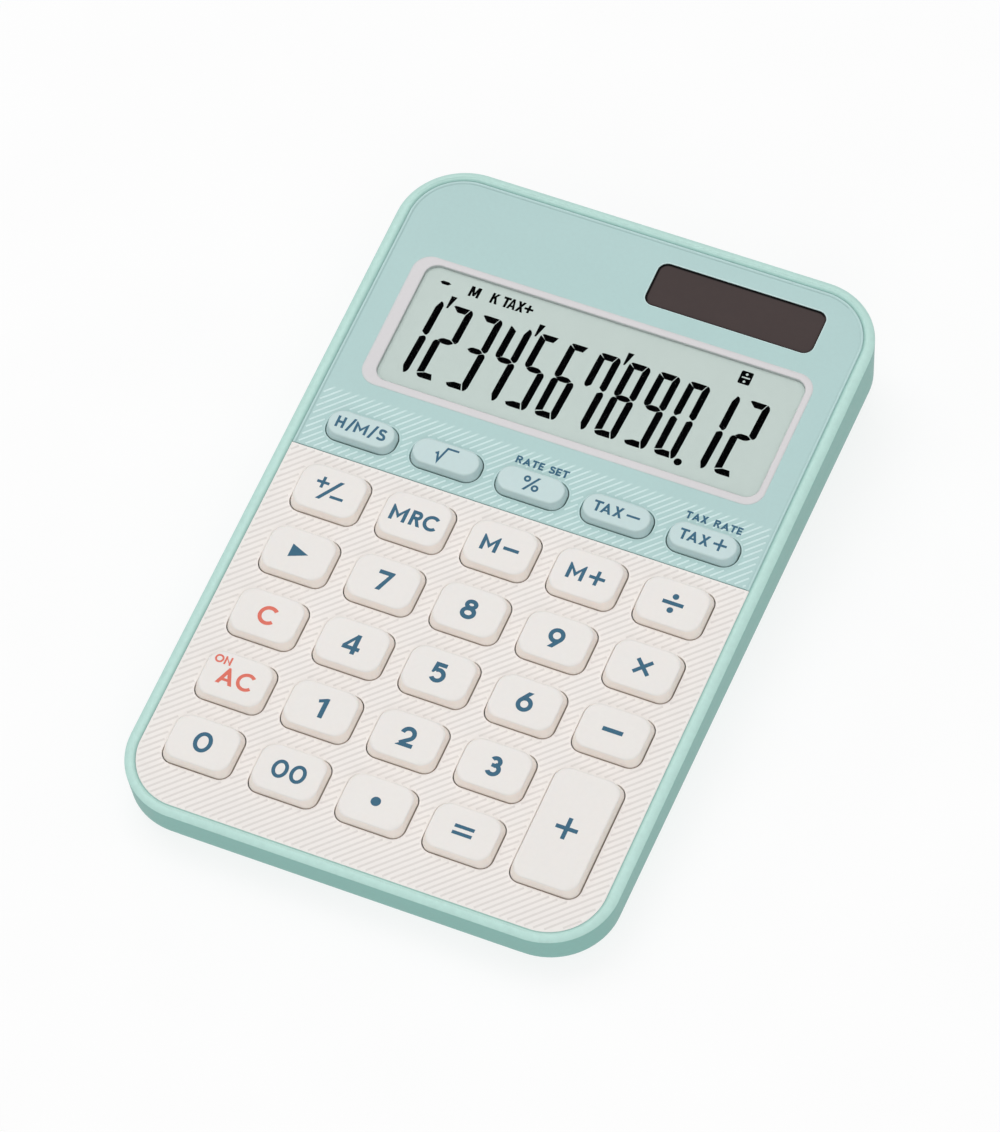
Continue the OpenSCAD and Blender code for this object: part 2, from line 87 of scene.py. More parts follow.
# ------------------------------------------------------------------ outlines
def rr(w, l, r, cx=0.0, cy=0.0, n=14):
    """Rounded rectangle, anticlockwise, 4(n+1) points."""
    out = []
    for k, (sx, sy) in enumerate(((1, 1), (-1, 1), (-1, -1), (1, -1))):
        for i in range(n + 1):
            a = math.radians(90 * k + 90 * i / n)
            out.append((cx + sx * (w / 2 - r) + r * math.cos(a), cy + sy * (l / 2 - r) + r * math.sin(a)))
    return np.array(out)


def ring3(loop, z):
    z = np.broadcast_to(np.asarray(z, float), (len(loop),))
    return np.column_stack([loop, z])


def circle(r, cx=0.0, cy=0.0, n=40):
    a = np.linspace(0, 2 * math.pi, n, endpoint=False)
    return np.column_stack([cx + r * np.cos(a), cy + r * np.sin(a)])


class Mesh:
    """Collects vertices and faces in mm, then becomes one object."""

    def __init__(self):
        self.v, self.f, self.m, self.a = [], [], [], []
        self.n = 0

    def add(self, verts, faces, mat=0, attr=0.0):
        verts = np.asarray(verts, float).reshape(-1, 3)
        attr = np.broadcast_to(np.asarray(attr, float), (len(verts),))
        self.v.append(verts)
        self.a.append(attr)
        self.f += [tuple(int(i) + self.n for i in f) for f in faces]
        self.m += [mat] * len(faces)
        self.n += len(verts)

    def loft(self, rings, mat=0, attr=None, cap0=False, cap1=False, mats=None):
        """Quads between closed rings with the same number of points. mats gives a material per step."""
        k = len(rings[0])
        verts = np.concatenate(rings)
        at = np.concatenate([np.broadcast_to(np.asarray(x, float), (k,)) for x in (attr if attr is not None else [0.0] * len(rings))])
        base = self.n
        self.v.append(verts)
        self.a.append(at)
        self.n += len(verts)
        for j in range(len(rings) - 1):
            mt = mats[j] if mats else mat
            for i in range(k):
                i2 = (i + 1) % k
                self.f.append((base + j * k + i, base + j * k + i2, base + (j + 1) * k + i2, base + (j + 1) * k + i))
                self.m.append(mt)
        if cap0:
            self.f.append(tuple(base + i for i in range(k - 1, -1, -1)))
            self.m.append(mats[0] if mats else mat)
        if cap1:
            self.f.append(tuple(base + (len(rings) - 1) * k + i for i in range(k)))
            self.m.append(mats[-1] if mats else mat)

    def flat(self, outer, holes, z, up=True, mat=0, attr=0.0, lines=None):
        """Plane region between an outline and holes. lines are polylines of (x, y, height, attribute)."""
        vs, es, fs = [], [], []

        def loop(l):
            s = len(vs)
            vs.extend([Vector((float(p[0]), float(p[1]))) for p in l])
            fs.append(list(range(s, s + len(l))))

        loop(outer)
        for h in holes:
            loop(h)
        base_n = len(vs)
        heights = [0.0] * base_n
        attrs = [attr] * base_n
        for pl in lines or []:
            s = len(vs)
            for p in pl:
                vs.append(Vector((float(p[0]), float(p[1]))))
                heights.append(p[2])
                attrs.append(p[3])
            es += [(s + i, s + i + 1) for i in range(len(pl) - 1)]
        ov, oe, of, orig_v, orig_e, orig_f = delaunay_2d_cdt(vs, es, fs, 1, 1e-5, True)
        verts = []
        at = []
        for p, o in zip(ov, orig_v):
            h = max((heights[i] for i in o), default=0.0, key=abs) if o else 0.0
            a = max((attrs[i] for i in o), default=attr) if o else attr
            verts.append((p.x, p.y, z + h))
            at.append(a)
        faces = []
        for f, o in zip(of, orig_f):
            if 0 in o and all(i == 0 for i in o):
                faces.append(tuple(f) if up else tuple(reversed(f)))
        self.add(verts, faces, mat, at)

    def obj(self, name, mats, body, tf=slope_pts, sharp=32.0, weld=4e-4, attr_name="tint", flip=False, recalc=True):
        v = np.concatenate(self.v)
        a = np.concatenate(self.a)
        me = bpy.data.meshes.new(name)
        bm = bmesh.new()
        lay = bm.verts.layers.float.new(attr_name)
        bv = []
        for p, t in zip(v, a):
            x = bm.verts.new(p)
            x[lay] = t
            bv.append(x)
        for f, m in zip(self.f, self.m):
            if len(set(f)) < 3:
                continue
            try:
                g = bm.faces.new([bv[i] for i in f])
                g.material_index = m
                g.smooth = True
            except ValueError:
                pass
        bmesh.ops.remove_doubles(bm, verts=bm.verts, dist=weld)
        bmesh.ops.dissolve_degenerate(bm, edges=bm.edges, dist=1e-5)
        loose = [x for x in bm.verts if not x.link_faces]
        bmesh.ops.delete(bm, geom=loose, context="VERTS")
        if recalc:
            bmesh.ops.recalc_face_normals(bm, faces=bm.faces)
        co = tf(np.array([x.co[:] for x in bm.verts]))
        for x, p in zip(bm.verts, co):
            x.co = p
        bm.to_mesh(me)
        bm.free()
        if sharp is not None:
            me.set_sharp_from_angle(angle=math.radians(sharp))
        o = bpy.data.objects.new(name, me)
        bpy.context.scene.collection.objects.link(o)
        for m in mats:
            me.materials.append(m)
        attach(o, body)
        return o


def arc(c, r, a0, a1, n, rx=None):
    return [(c[0] + (rx or r) * math.cos(math.radians(a)), c[1] + r * math.sin(math.radians(a))) for a in np.linspace(a0, a1, n)]


# ------------------------------------------------------------------ materials
def lin(c):
    return tuple((x / 255 / 12.92) if x / 255 <= 0.04045 else ((x / 255 + 0.055) / 1.055) ** 2.4 for x in c)


def plastic(name, rgb, rough=0.42, grain=5200, bump=0.25, depth=1.2e-5, tint=None, tint_pow=1.0, mottle=0.02,
            speck=0.03, spec=0.5, edge=0.0, attr="tint", coat=0.0, metallic=0.0, alpha=1.0, sss=0.0, brushed=None, dark=None, glow=0.0):
    """Moulded plastic and its relatives: fine moulded grain, faint mottling and specks, a tint that follows a vertex
    attribute (dark where it is negative), which the meshes mostly use for painted shade and painted highlights, and
    slightly lighter convex edges, a painted edge highlight."""
    m = bpy.data.materials.new(name)
    m.use_nodes = True
    nt = m.node_tree
    nt.nodes.clear()
    N, L = nt.nodes.new, nt.links.new
    out = N("ShaderNodeOutputMaterial")
    b = N("ShaderNodeBsdfPrincipled")
    L(b.outputs[0], out.inputs[0])
    b.inputs["Metallic"].default_value = metallic
    b.inputs["Specular IOR Level"].default_value = spec
    b.inputs["Alpha"].default_value = alpha
    if coat:
        b.inputs["Coat Weight"].default_value = coat
        b.inputs["Coat Roughness"].default_value = 0.12
    if sss:
        b.inputs["Subsurface Weight"].default_value = sss
        b.inputs["Subsurface Radius"].default_value = (0.0012, 0.0008, 0.0006)
        b.inputs["Subsurface Scale"].default_value = 1.0
    tc = N("ShaderNodeTexCoord")
    mp = N("ShaderNodeMapping")
    L(tc.outputs["Object"], mp.inputs[0])
    if brushed:
        mp.inputs["Scale"].default_value = brushed
    n1 = N("ShaderNodeTexNoise")          # mottling over centimetres
    n1.inputs["Scale"].default_value = 55
    n1.inputs["Detail"].default_value = 3
    n2 = N("ShaderNodeTexNoise")          # moulded grain
    n2.inputs["Scale"].default_value = grain
    n2.inputs["Detail"].default_value = 2
    n3 = N("ShaderNodeTexNoise")          # specks and handling marks
    n3.inputs["Scale"].default_value = grain * 0.22
    n3.inputs["Detail"].default_value = 4
    for n in (n1, n2, n3):
        L(mp.outputs[0], n.inputs["Vector"])
    cur = (*lin(rgb), 1)

    def feed(src, socket):
        if isinstance(src, tuple):
            socket.default_value = src
        else:
            L(src, socket)

    if dark is not None:
        at = N("ShaderNodeAttribute")
        at.attribute_name = attr
        neg = N("ShaderNodeMapRange")
        neg.inputs["From Min"].default_value = 0.0
        neg.inputs["From Max"].default_value = -1.0
        L(at.outputs["Fac"], neg.inputs["Value"])
        mx = N("ShaderNodeMix")
        mx.data_type = "RGBA"
        L(neg.outputs[0], mx.inputs["Factor"])
        feed(cur, mx.inputs["A"])
        mx.inputs["B"].default_value = (*lin(dark), 1)
        cur = mx.outputs["Result"]
    if tint is not None:
        at = N("ShaderNodeAttribute")
        at.attribute_name = attr
        mx = N("ShaderNodeMix")
        mx.data_type = "RGBA"
        pw = N("ShaderNodeMath")
        pw.operation = "POWER"
        pw.inputs[1].default_value = tint_pow
        pw.use_clamp = True
        L(at.outputs["Fac"], pw.inputs[0])
        L(pw.outputs[0], mx.inputs["Factor"])
        feed(cur, mx.inputs["A"])
        mx.inputs["B"].default_value = (*lin(tint), 1)
        cur = mx.outputs["Result"]

    def shade(src, noise, amount, lo=0.3, hi=0.7):
        mr = N("ShaderNodeMapRange")
        mr.inputs["From Min"].default_value = lo
        mr.inputs["From Max"].default_value = hi
        mr.inputs["To Min"].default_value = 1 - amount
        mr.inputs["To Max"].default_value = 1 + amount
        L(noise, mr.inputs["Value"])
        hsv = N("ShaderNodeHueSaturation")
        L(mr.outputs[0], hsv.inputs["Value"])
        feed(src, hsv.inputs["Color"])
        return hsv.outputs[0]

    cur = shade(cur, n1.outputs["Fac"], mottle)
    cur = shade(cur, n3.outputs["Fac"], speck)
    # painted highlight: convex edges are made slightly lighter
    if edge:
        geo = N("ShaderNodeNewGeometry")
        mr = N("ShaderNodeMapRange")
        mr.inputs["From Min"].default_value = 0.52
        mr.inputs["From Max"].default_value = 0.62
        mr.inputs["To Min"].default_value = 1.0
        mr.inputs["To Max"].default_value = 1.0 + edge
        L(geo.outputs["Pointiness"], mr.inputs["Value"])
        hsv = N("ShaderNodeHueSaturation")
        L(mr.outputs[0], hsv.inputs["Value"])
        L(cur, hsv.inputs["Color"])
        cur = hsv.outputs[0]
    L(cur, b.inputs["Base Color"])
    # painted light: the surface glows in its own colour
    if glow:
        L(cur, b.inputs["Emission Color"])
        b.inputs["Emission Strength"].default_value = glow
    rr_ = N("ShaderNodeMapRange")
    rr_.inputs["From Min"].default_value = 0.3
    rr_.inputs["From Max"].default_value = 0.7
    rr_.inputs["To Min"].default_value = max(0.02, rough - 0.06)
    rr_.inputs["To Max"].default_value = rough + 0.06
    L(n3.outputs["Fac"], rr_.inputs["Value"])
    L(rr_.outputs[0], b.inputs["Roughness"])
    if bump:
        bp = N("ShaderNodeBump")
        bp.inputs["Strength"].default_value = bump
        bp.inputs["Distance"].default_value = depth
        L(n2.outputs["Fac"], bp.inputs["Height"])
        L(bp.outputs[0], b.inputs["Normal"])
    return m


MINT_FACE = (181, 213, 211)
# painted shade: the side walls, the lower shell and the battery cover take this darker mint, partly the shell's own
# colour and partly the shade on the walls
WALL_MINT_PAINTED_SHADE = (133, 181, 173)
SHELL = plastic("shell_mint", (200, 235, 227), rough=0.46, spec=0.2, grain=4200, bump=0.30, depth=1.5e-5, mottle=0.012, edge=0.02, tint=WALL_MINT_PAINTED_SHADE)
SHELL_LOW_PAINTED_SHADE = plastic("shell_mint_lower_painted_shade", WALL_MINT_PAINTED_SHADE, rough=0.48, spec=0.2, grain=4200, bump=0.30, depth=1.5e-5, mottle=0.012, edge=0.02)
# painted light: tint lightens the border's crest, the rib tops and the rims of the openings (painted highlights); dark
# darkens the gap at the edge and the groove (painted shade)
FACE_MINT = plastic("face_mint", MINT_FACE, rough=0.46, grain=6000, bump=0.22, mottle=0.012, speck=0.012, tint=(224, 246, 245), dark=(138, 170, 168))
# painted shade: tint darkens the walls of the key openings and the tops of the ribs
FACE_CREAM = plastic("face_cream", (246, 241, 237), rough=0.5, grain=6000, bump=0.25, mottle=0.008, speck=0.012, tint=(229, 223, 219))
# keys: tint paints how the walls are lit and dark paints the shade in the gap at the wall's foot
KEY_CREAM = plastic("key_cream", (240, 236, 232), rough=0.38, grain=5200, bump=0.22, mottle=0.008, speck=0.008, tint=(250, 241, 233), sss=0.08, dark=(224, 209, 196))
KEY_MINT = plastic("key_mint", (200, 222, 222), rough=0.36, grain=5200, bump=0.22, mottle=0.01, speck=0.01, tint=(196, 217, 218), sss=0.06, dark=(176, 199, 198))
BEZEL = plastic("bezel_pale", (219, 216, 218), rough=0.36, grain=5200, bump=0.2, mottle=0.012, speck=0.012, tint=(184, 190, 189), edge=0.02, dark=(206, 216, 215))
INK_BLUE = plastic("ink_blue", (66, 110, 135), rough=0.6, grain=9000, bump=0.3, depth=4e-6, mottle=0.02, speck=0.05, spec=0.12)
INK_CORAL = plastic("ink_coral", (232, 122, 105), rough=0.6, grain=9000, bump=0.3, depth=4e-6, mottle=0.02, speck=0.04, spec=0.15)
# painted light: the polariser, its marks and the seal glow a little, lifting the shade that the bezel's recess casts on
# the display
LCD_GLASS = plastic("lcd_polariser_painted_glow", (191, 204, 199), rough=0.4, grain=3000, bump=0.05, depth=2e-6, mottle=0.012, speck=0.01, spec=0.1, glow=0.2)
LCD_INK = plastic("lcd_segments", (2, 2, 3), rough=0.6, grain=3000, bump=0.05, depth=2e-6, mottle=0.05, speck=0.05, spec=0.0)
WINDOW = plastic("window_clear", (30, 34, 33), rough=0.10, grain=900, bump=0.02, depth=2e-6, mottle=0.01, speck=0.01, alpha=0.02, spec=0.15)
SOLAR_GLASS = plastic("solar_glass", (74, 64, 63), rough=0.5, grain=2500, bump=0.04, depth=3e-6, mottle=0.04, speck=0.03, tint=(10, 11, 12), spec=0.08)
RUBBER_FOOT = plastic("rubber_foot", (84, 88, 88), rough=0.75, grain=2600, bump=0.6, depth=4e-5, mottle=0.06, speck=0.08, spec=0.3, tint=(60, 62, 62))
RUBBER_GREY = plastic("rubber_sheet", (183, 188, 188), rough=0.65, grain=2600, bump=0.5, depth=3e-5, mottle=0.04, speck=0.04, spec=0.3)
STEEL = plastic("steel_screw", (190, 192, 196), rough=0.3, grain=2400, bump=0.35, depth=1e-5, mottle=0.05, speck=0.08, metallic=1.0, brushed=(1, 1, 6))
CELL = plastic("cell_steel", (205, 205, 202), rough=0.24, grain=3000, bump=0.3, depth=8e-6, mottle=0.04, speck=0.05, metallic=1.0, brushed=(8, 1, 1))
BRASS = plastic("contact_metal", (212, 200, 160), rough=0.3, grain=3000, bump=0.3, depth=8e-6, mottle=0.05, speck=0.06, metallic=1.0, brushed=(1, 8, 1))
BOARD = plastic("board_green", (108, 132, 78), rough=0.45, grain=1500, bump=0.4, depth=2e-5, mottle=0.06, speck=0.08, coat=0.2)
RESIN = plastic("chip_resin", (26, 26, 28), rough=0.3, grain=1800, bump=0.3, depth=2e-5, mottle=0.08, speck=0.08)
SLEEVE = plastic("capacitor_sleeve", (42, 52, 90), rough=0.35, grain=2400, bump=0.3, mottle=0.05, speck=0.06)
WHITE_PL = plastic("plastic_white", (217, 217, 209), rough=0.5, grain=3600, bump=0.4, mottle=0.03, speck=0.03)
PINK_RB = plastic("connector_rubber", (208, 116, 128), rough=0.6, grain=2600, bump=0.5, mottle=0.05, speck=0.06)
SOLAR_CELL = plastic("solar_cell_dark", (50, 42, 52), rough=0.3, grain=2400, bump=0.2, mottle=0.08, speck=0.06)
RED_PVC = plastic("lead_red", (186, 34, 28), rough=0.4, grain=3000, bump=0.2, mottle=0.04, speck=0.05)
BLACK_PVC = plastic("lead_black", (24, 24, 25), rough=0.4, grain=3000, bump=0.2, mottle=0.05, speck=0.06)

# ------------------------------------------------------------------ upper shell
N_C = 20


def z_part(y):
    return -WALL_FRONT - (y + BODY_L / 2) * PART_K


def body_ring(d, z=None, part=None, n=N_C):
    """Casing outline moved in by d. part puts each point at that height over the parting plane."""
    l = rr(BODY_W - 2 * d, BODY_L - 2 * d, max(CORNER - d, 0.5), n=n)
    if part is None:
        return ring3(l, z)
    return ring3(l, z_part(l[:, 1]) + part)


def key_holes(g, n=9):
    out = []
    for j in range(5):
        for i in range(5):
            if i == 4 and j > 2:
                continue
            out.append(rr(KEY_W + 2 * g, KEY_L + 2 * g, KEY_R + g, col(i), row(j), n))
    out.append(rr(KEY_W + 2 * g, KEY_L + ROW + 2 * g, KEY_R + g, col(4), (row(3) + row(4)) / 2, n))
    return out


def pill_holes(g, n=12):
    return [rr(PILL_W + 2 * g, PILL_L + 2 * g, PILL_R + g, col(i), PILL_Y, n) for i in range(5)]


def build_top():
    m = Mesh()
    seat = (FACE_W + 0.24, FACE_L + 0.24, FACE_R + 0.12)

    def seat_ring(g, z):
        return ring3(rr(seat[0] + 2 * g, seat[1] + 2 * g, seat[2] + g, n=N_C), z)

    # seat of the face plates, closing to a fine line at the top; its tint toward the darker wall mint is painted shade
    # in the gap around the plates
    rings, at = [seat_ring(0, -PLATE_T), seat_ring(0, -0.4), seat_ring(-0.085, -0.3), seat_ring(-0.085, 0.0)], [0.8, 0.8, 0.9, 0.9]
    for g, z, a in ((0.0, 0.02, 0.65), (0.12, 0.06, 0.55), (0.22, 0.13, 0.28), (0.34, 0.22, 0.08), (0.5, 0.31, 0.0), (0.66, 0.365, 0.0)):
        rings.append(seat_ring(g, z))
        at.append(a)
    # crowned rim, then a small fillet into the wall; the tint grows over the rim's outer slope and the fillet, painted
    # shade where the rim turns down into the wall
    zr = lambda t: RIM_H - 0.008 - RIM_R * (math.cos(math.radians(RIM_A0)) - math.cos(math.radians(t)))
    dr = lambda t: RIM_R * (math.sin(math.radians(RIM_A1)) - math.sin(math.radians(t)))
    for t in np.linspace(RIM_A0 + 11, RIM_A1 - 1.9, 11):
        rings.append(body_ring(dr(t), zr(t)))
        at.append(0.0 if t < 20 else 0.2 * (t - 20) / 17)
    p0 = (dr(RIM_A1 - 1.9), zr(RIM_A1 - 1.9))
    p1 = (0.0, RIM_EDGE - 0.008)
    p2 = (0.15 * DRAFT, RIM_EDGE - 0.15)
    for s, a in ((0.33, 0.25), (0.6, 0.55), (0.82, 1.0), (1.0, 1.0)):
        rings.append(body_ring(*[(1 - s) ** 2 * p0[i] + 2 * s * (1 - s) * p1[i] + s * s * p2[i] for i in (0, 1)]))
        at.append(a)
    zb = RIM_EDGE - 0.15
    k = 6
    for i in range(1, k + 1):
        l = rr(BODY_W, BODY_L, CORNER, n=N_C)
        zl = z_part(l[:, 1]) + 0.22
        z = zb + (zl - zb) * i / k
        d = DRAFT * (RIM_EDGE - z)
        # move each point along its outward normal
        nrm = _normals(l)
        rings.append(np.column_stack([l - nrm * d[:, None], z]))
        at.append(1.0)
    last = rings[-1]
    nrm = _normals(last[:, :2])
    for dd, dz in ((0.06, -0.15), (0.22, -0.22)):
        p = last[:, :2] - nrm * dd
        rings.append(np.column_stack([p, last[:, 2] + dz]))
        at.append(1.0)
    inner = rr(BODY_W - 4.4, BODY_L - 4.4, CORNER - 1.8, n=N_C)
    rings.append(ring3(inner, z_part(inner[:, 1])))
    at.append(1.0)
    rings.append(ring3(inner, DECK_Z))
    at.append(1.0)
    m.loft(rings, attr=at)
    disp = rr(82.8, 34.8, 1, DISP_X, DISP_Y, 4)
    sol = rr(SOLAR_W - 1.6, SOLAR_L - 1.6, 1.2, SOLAR_X, SOLAR_Y, 5)
    holes = key_holes(0.15) + pill_holes(0.15) + [disp, sol]
    m.flat(rr(*seat, n=N_C), holes, -PLATE_T, up=True, attr=1.0)
    m.flat(inner, holes, DECK_Z, up=False, attr=1.0)
    for h in holes:
        m.loft([ring3(h, DECK_Z), ring3(h, -PLATE_T)], attr=[1.0, 1.0])
    # screw posts under the deck
    posts = [(-BODY_W / 2 + 11.3, -BODY_L / 2 + 5.8, -6.8, 2.3, 1.25), (BODY_W / 2 - 11.3, -BODY_L / 2 + 5.8, -6.8, 2.3, 1.25),
             (-BODY_W / 2 + 7.2, BODY_L / 2 - 15.2, -9.0, 2.3, 1.25), (BODY_W / 2 - 7.2, BODY_L / 2 - 15.2, -9.0, 2.3, 1.25)]
    posts += [(x * COL, y, -6.2, 1.5, 0.9) for x, y in ((-1.5, row(0) - ROW / 2), (1.5, row(0) - ROW / 2), (-0.5, row(3) - ROW / 2), (0.5, row(3) - ROW / 2))]
    posts += [(x, y, -5.1, 1.5, 0.9) for x in (-43.3, 43.3) for y in (30, 52)]
    for x, y, zt, ro, ri in posts:
        o, i = circle(ro, x, y, 28), circle(ri, x, y, 28)
        m.loft([ring3(o, DECK_Z + 0.3), ring3(o, zt + 0.15), ring3(circle(ro - 0.15, x, y, 28), zt), ring3(i, zt), ring3(i, DECK_Z - 0.6)],
               attr=[1.0] * 5, cap0=True, cap1=True)
    o = m.obj("casing_top", [SHELL], "casing", sharp=40)
    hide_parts("top_case")
    return o


def _normals(l):
    """Outward normals of an anticlockwise loop of points."""
    nxt, prv = np.roll(l, -1, 0), np.roll(l, 1, 0)
    t = nxt - prv
    nn = np.column_stack([t[:, 1], -t[:, 0]])
    return nn / np.linalg.norm(nn, axis=1)[:, None]


build_top()

# ------------------------------------------------------------------ face plates


def convex_span(poly, p, d):
    """Interval of t where p + t d is inside a convex anticlockwise polygon, or None."""
    t0, t1 = -1e9, 1e9
    n = len(poly)
    a = poly
    e = np.roll(poly, -1, 0) - poly
    for i in range(n):
        nx, ny = e[i][1], -e[i][0]
        if abs(nx) + abs(ny) < 1e-9:
            continue
        den = nx * d[0] + ny * d[1]
        num = nx * (a[i][0] - p[0]) + ny * (a[i][1] - p[1])
        if abs(den) < 1e-12:
            if num < 0:
                return None
            continue
        t = num / den
        if den > 0:
            t1 = min(t1, t)
        else:
            t0 = max(t0, t)
    return (t0, t1) if t1 - t0 > 1e-6 else None


def stripes(outline, holes, pitch, half, edge, height, u_lo, u_hi, taper=0.1, top_y=None, top_taper=1.2, phase=0.0, rib_light_paint=1.0):
    """Fine diagonal ribs, rising to the right, inside a convex outline and outside the holes. The rib tops carry a tint
    value that paints the ribs' light and shade into the colour: a painted highlight on the mint plate, painted shade on
    the cream one.
    """
    d = (math.sqrt(0.5), math.sqrt(0.5))
    out = []
    k0, k1 = math.floor(u_lo / pitch), math.ceil(u_hi / pitch)
    for k in range(k0, k1 + 1):
        u = k * pitch + phase
        spans = {}
        for off in (-half - edge, -half, half, half + edge):
            p = ((u + off) * math.sqrt(0.5), -(u + off) * math.sqrt(0.5))
            spans[off] = (p, convex_span(outline, p, d))
        if any(s[1] is None for s in spans.values()):
            continue
        t0 = max(s[1][0] for s in spans.values())
        t1 = min(s[1][1] for s in spans.values())
        cuts = []
        for h in holes:
            lo, hi = 1e9, -1e9
            for off, (p, _) in spans.items():
                s = convex_span(h, p, d)
                if s:
                    lo, hi = min(lo, s[0]), max(hi, s[1])
            if hi > lo:
                cuts.append((lo, hi))
        cuts.sort()
        segs, cur = [], t0
        for lo, hi in cuts:
            if hi <= cur:
                continue
            if lo > t1:
                break
            if lo > cur:
                segs.append((cur, min(lo, t1)))
            cur = max(cur, hi)
        if cur < t1:
            segs.append((cur, t1))
        for a, b in segs:
            if b - a < 3 * taper + 0.2:
                continue
            mid = spans[-half][0]
            tb = taper
            if top_y is not None and mid[1] + b * d[1] > top_y - 0.35:
                tb = min(top_taper, (b - a) * 0.6)
            for off, h in ((-half - edge, 0), (-half, 1), (half, 1), (half + edge, 0)):
                p = spans[off][0]
                if h == 0:
                    ts = [(a, 0, 0), (b, 0, 0)]
                else:
                    ts = [(a + taper, height, rib_light_paint), (b - tb, height, rib_light_paint)]
                    if tb > taper:
                        ts.append((b - 0.08, height * 0.1, 0.0))
                out.append([(p[0] + t * d[0], p[1] + t * d[1], hh, aa) for t, hh, aa in ts])
    return out


def plate_outline(d, y_cut, below, n=N_C):
    """Face plate outline moved in by d, cut straight at the line between the plates."""
    l = rr(FACE_W - 2 * d, FACE_L - 2 * d, FACE_R - d, n=n)
    if below:
        keep = l[l[:, 1] < 0]
        # left side first corner, then bottom, then right: order is anticlockwise
        i = int(np.argmin(keep[:, 0] * 1000 - keep[:, 1]))
        keep = np.roll(keep, -i, 0)
        return np.vstack([[(-(FACE_W / 2 - d), y_cut - d)], keep, [((FACE_W / 2 - d), y_cut - d)]])
    keep = l[l[:, 1] > 0]
    i = int(np.argmax(keep[:, 0] * 1000 - keep[:, 1]))
    keep = np.roll(keep, -i, 0)
    return np.vstack([[((FACE_W / 2 - d), y_cut + d)], keep, [(-(FACE_W / 2 - d), y_cut + d)]])


def soft_hole(m, make, z_top, r, z_bot, attr_in=0.6, n=4):
    """Wall of an opening with a rounded upper edge. make(g) gives the outline grown by g. The wall carries the tint
    attr_in at its foot, painted shade deep in the opening, fading out over the rounded edge.
    """
    rings, at = [ring3(make(0), z_bot), ring3(make(0), z_top - r)], [attr_in, 0.2]
    for t in np.linspace(0, 90, n + 1)[1:]:
        rings.append(ring3(make(r * (1 - math.cos(math.radians(t)))), z_top - r + r * math.sin(math.radians(t))))
        at.append(0.0)
    m.loft(rings, attr=at)


def build_keypad_plate():
    m = Mesh()
    y_cut = SPLIT_Y - 0.012
    e = 0.06
    loops = [plate_outline(0, y_cut, True)]
    rings, at = [ring3(loops[0], -PLATE_T), ring3(loops[0], -e)], [0.0, 0.0]
    for t in np.linspace(0, 90, 5)[1:]:
        rings.append(ring3(plate_outline(e * (1 - math.cos(math.radians(t))), y_cut, True), -e + e * math.sin(math.radians(t))))
        at.append(0.0)
    m.loft(rings, attr=at)
    fl = 0.12
    specs = []
    for j in range(5):
        for i in range(5):
            if i == 4 and j > 2:
                continue
            specs.append((KEY_L, col(i), row(j)))
    specs.append((KEY_L + ROW, col(4), (row(3) + row(4)) / 2))
    top_holes, bot_holes, grown = [], [], []
    for l, x, y in specs:
        mk = lambda g, l=l, x=x, y=y: rr(KEY_W + 2 * g, l + 2 * g, KEY_R + g, x, y, 9)
        soft_hole(m, mk, 0, fl, -PLATE_T, attr_in=0.4)
        top_holes.append(mk(fl))
        bot_holes.append(mk(0))
        grown.append(rr(KEY_W + 0.6, l + 0.6, KEY_R + 0.3, x, y, 5))
    lines = stripes(plate_outline(0.2, y_cut, True, n=8), grown, 1.165, 0.15, 0.13, -0.035, -110, 110)
    m.flat(plate_outline(e, y_cut, True), top_holes, 0.0, lines=lines)
    m.flat(plate_outline(0, y_cut, True), bot_holes, -PLATE_T, up=False)
    o = m.obj("plate_keys", [FACE_CREAM], "casing", sharp=35)
    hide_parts("keypad_panel")
    return o


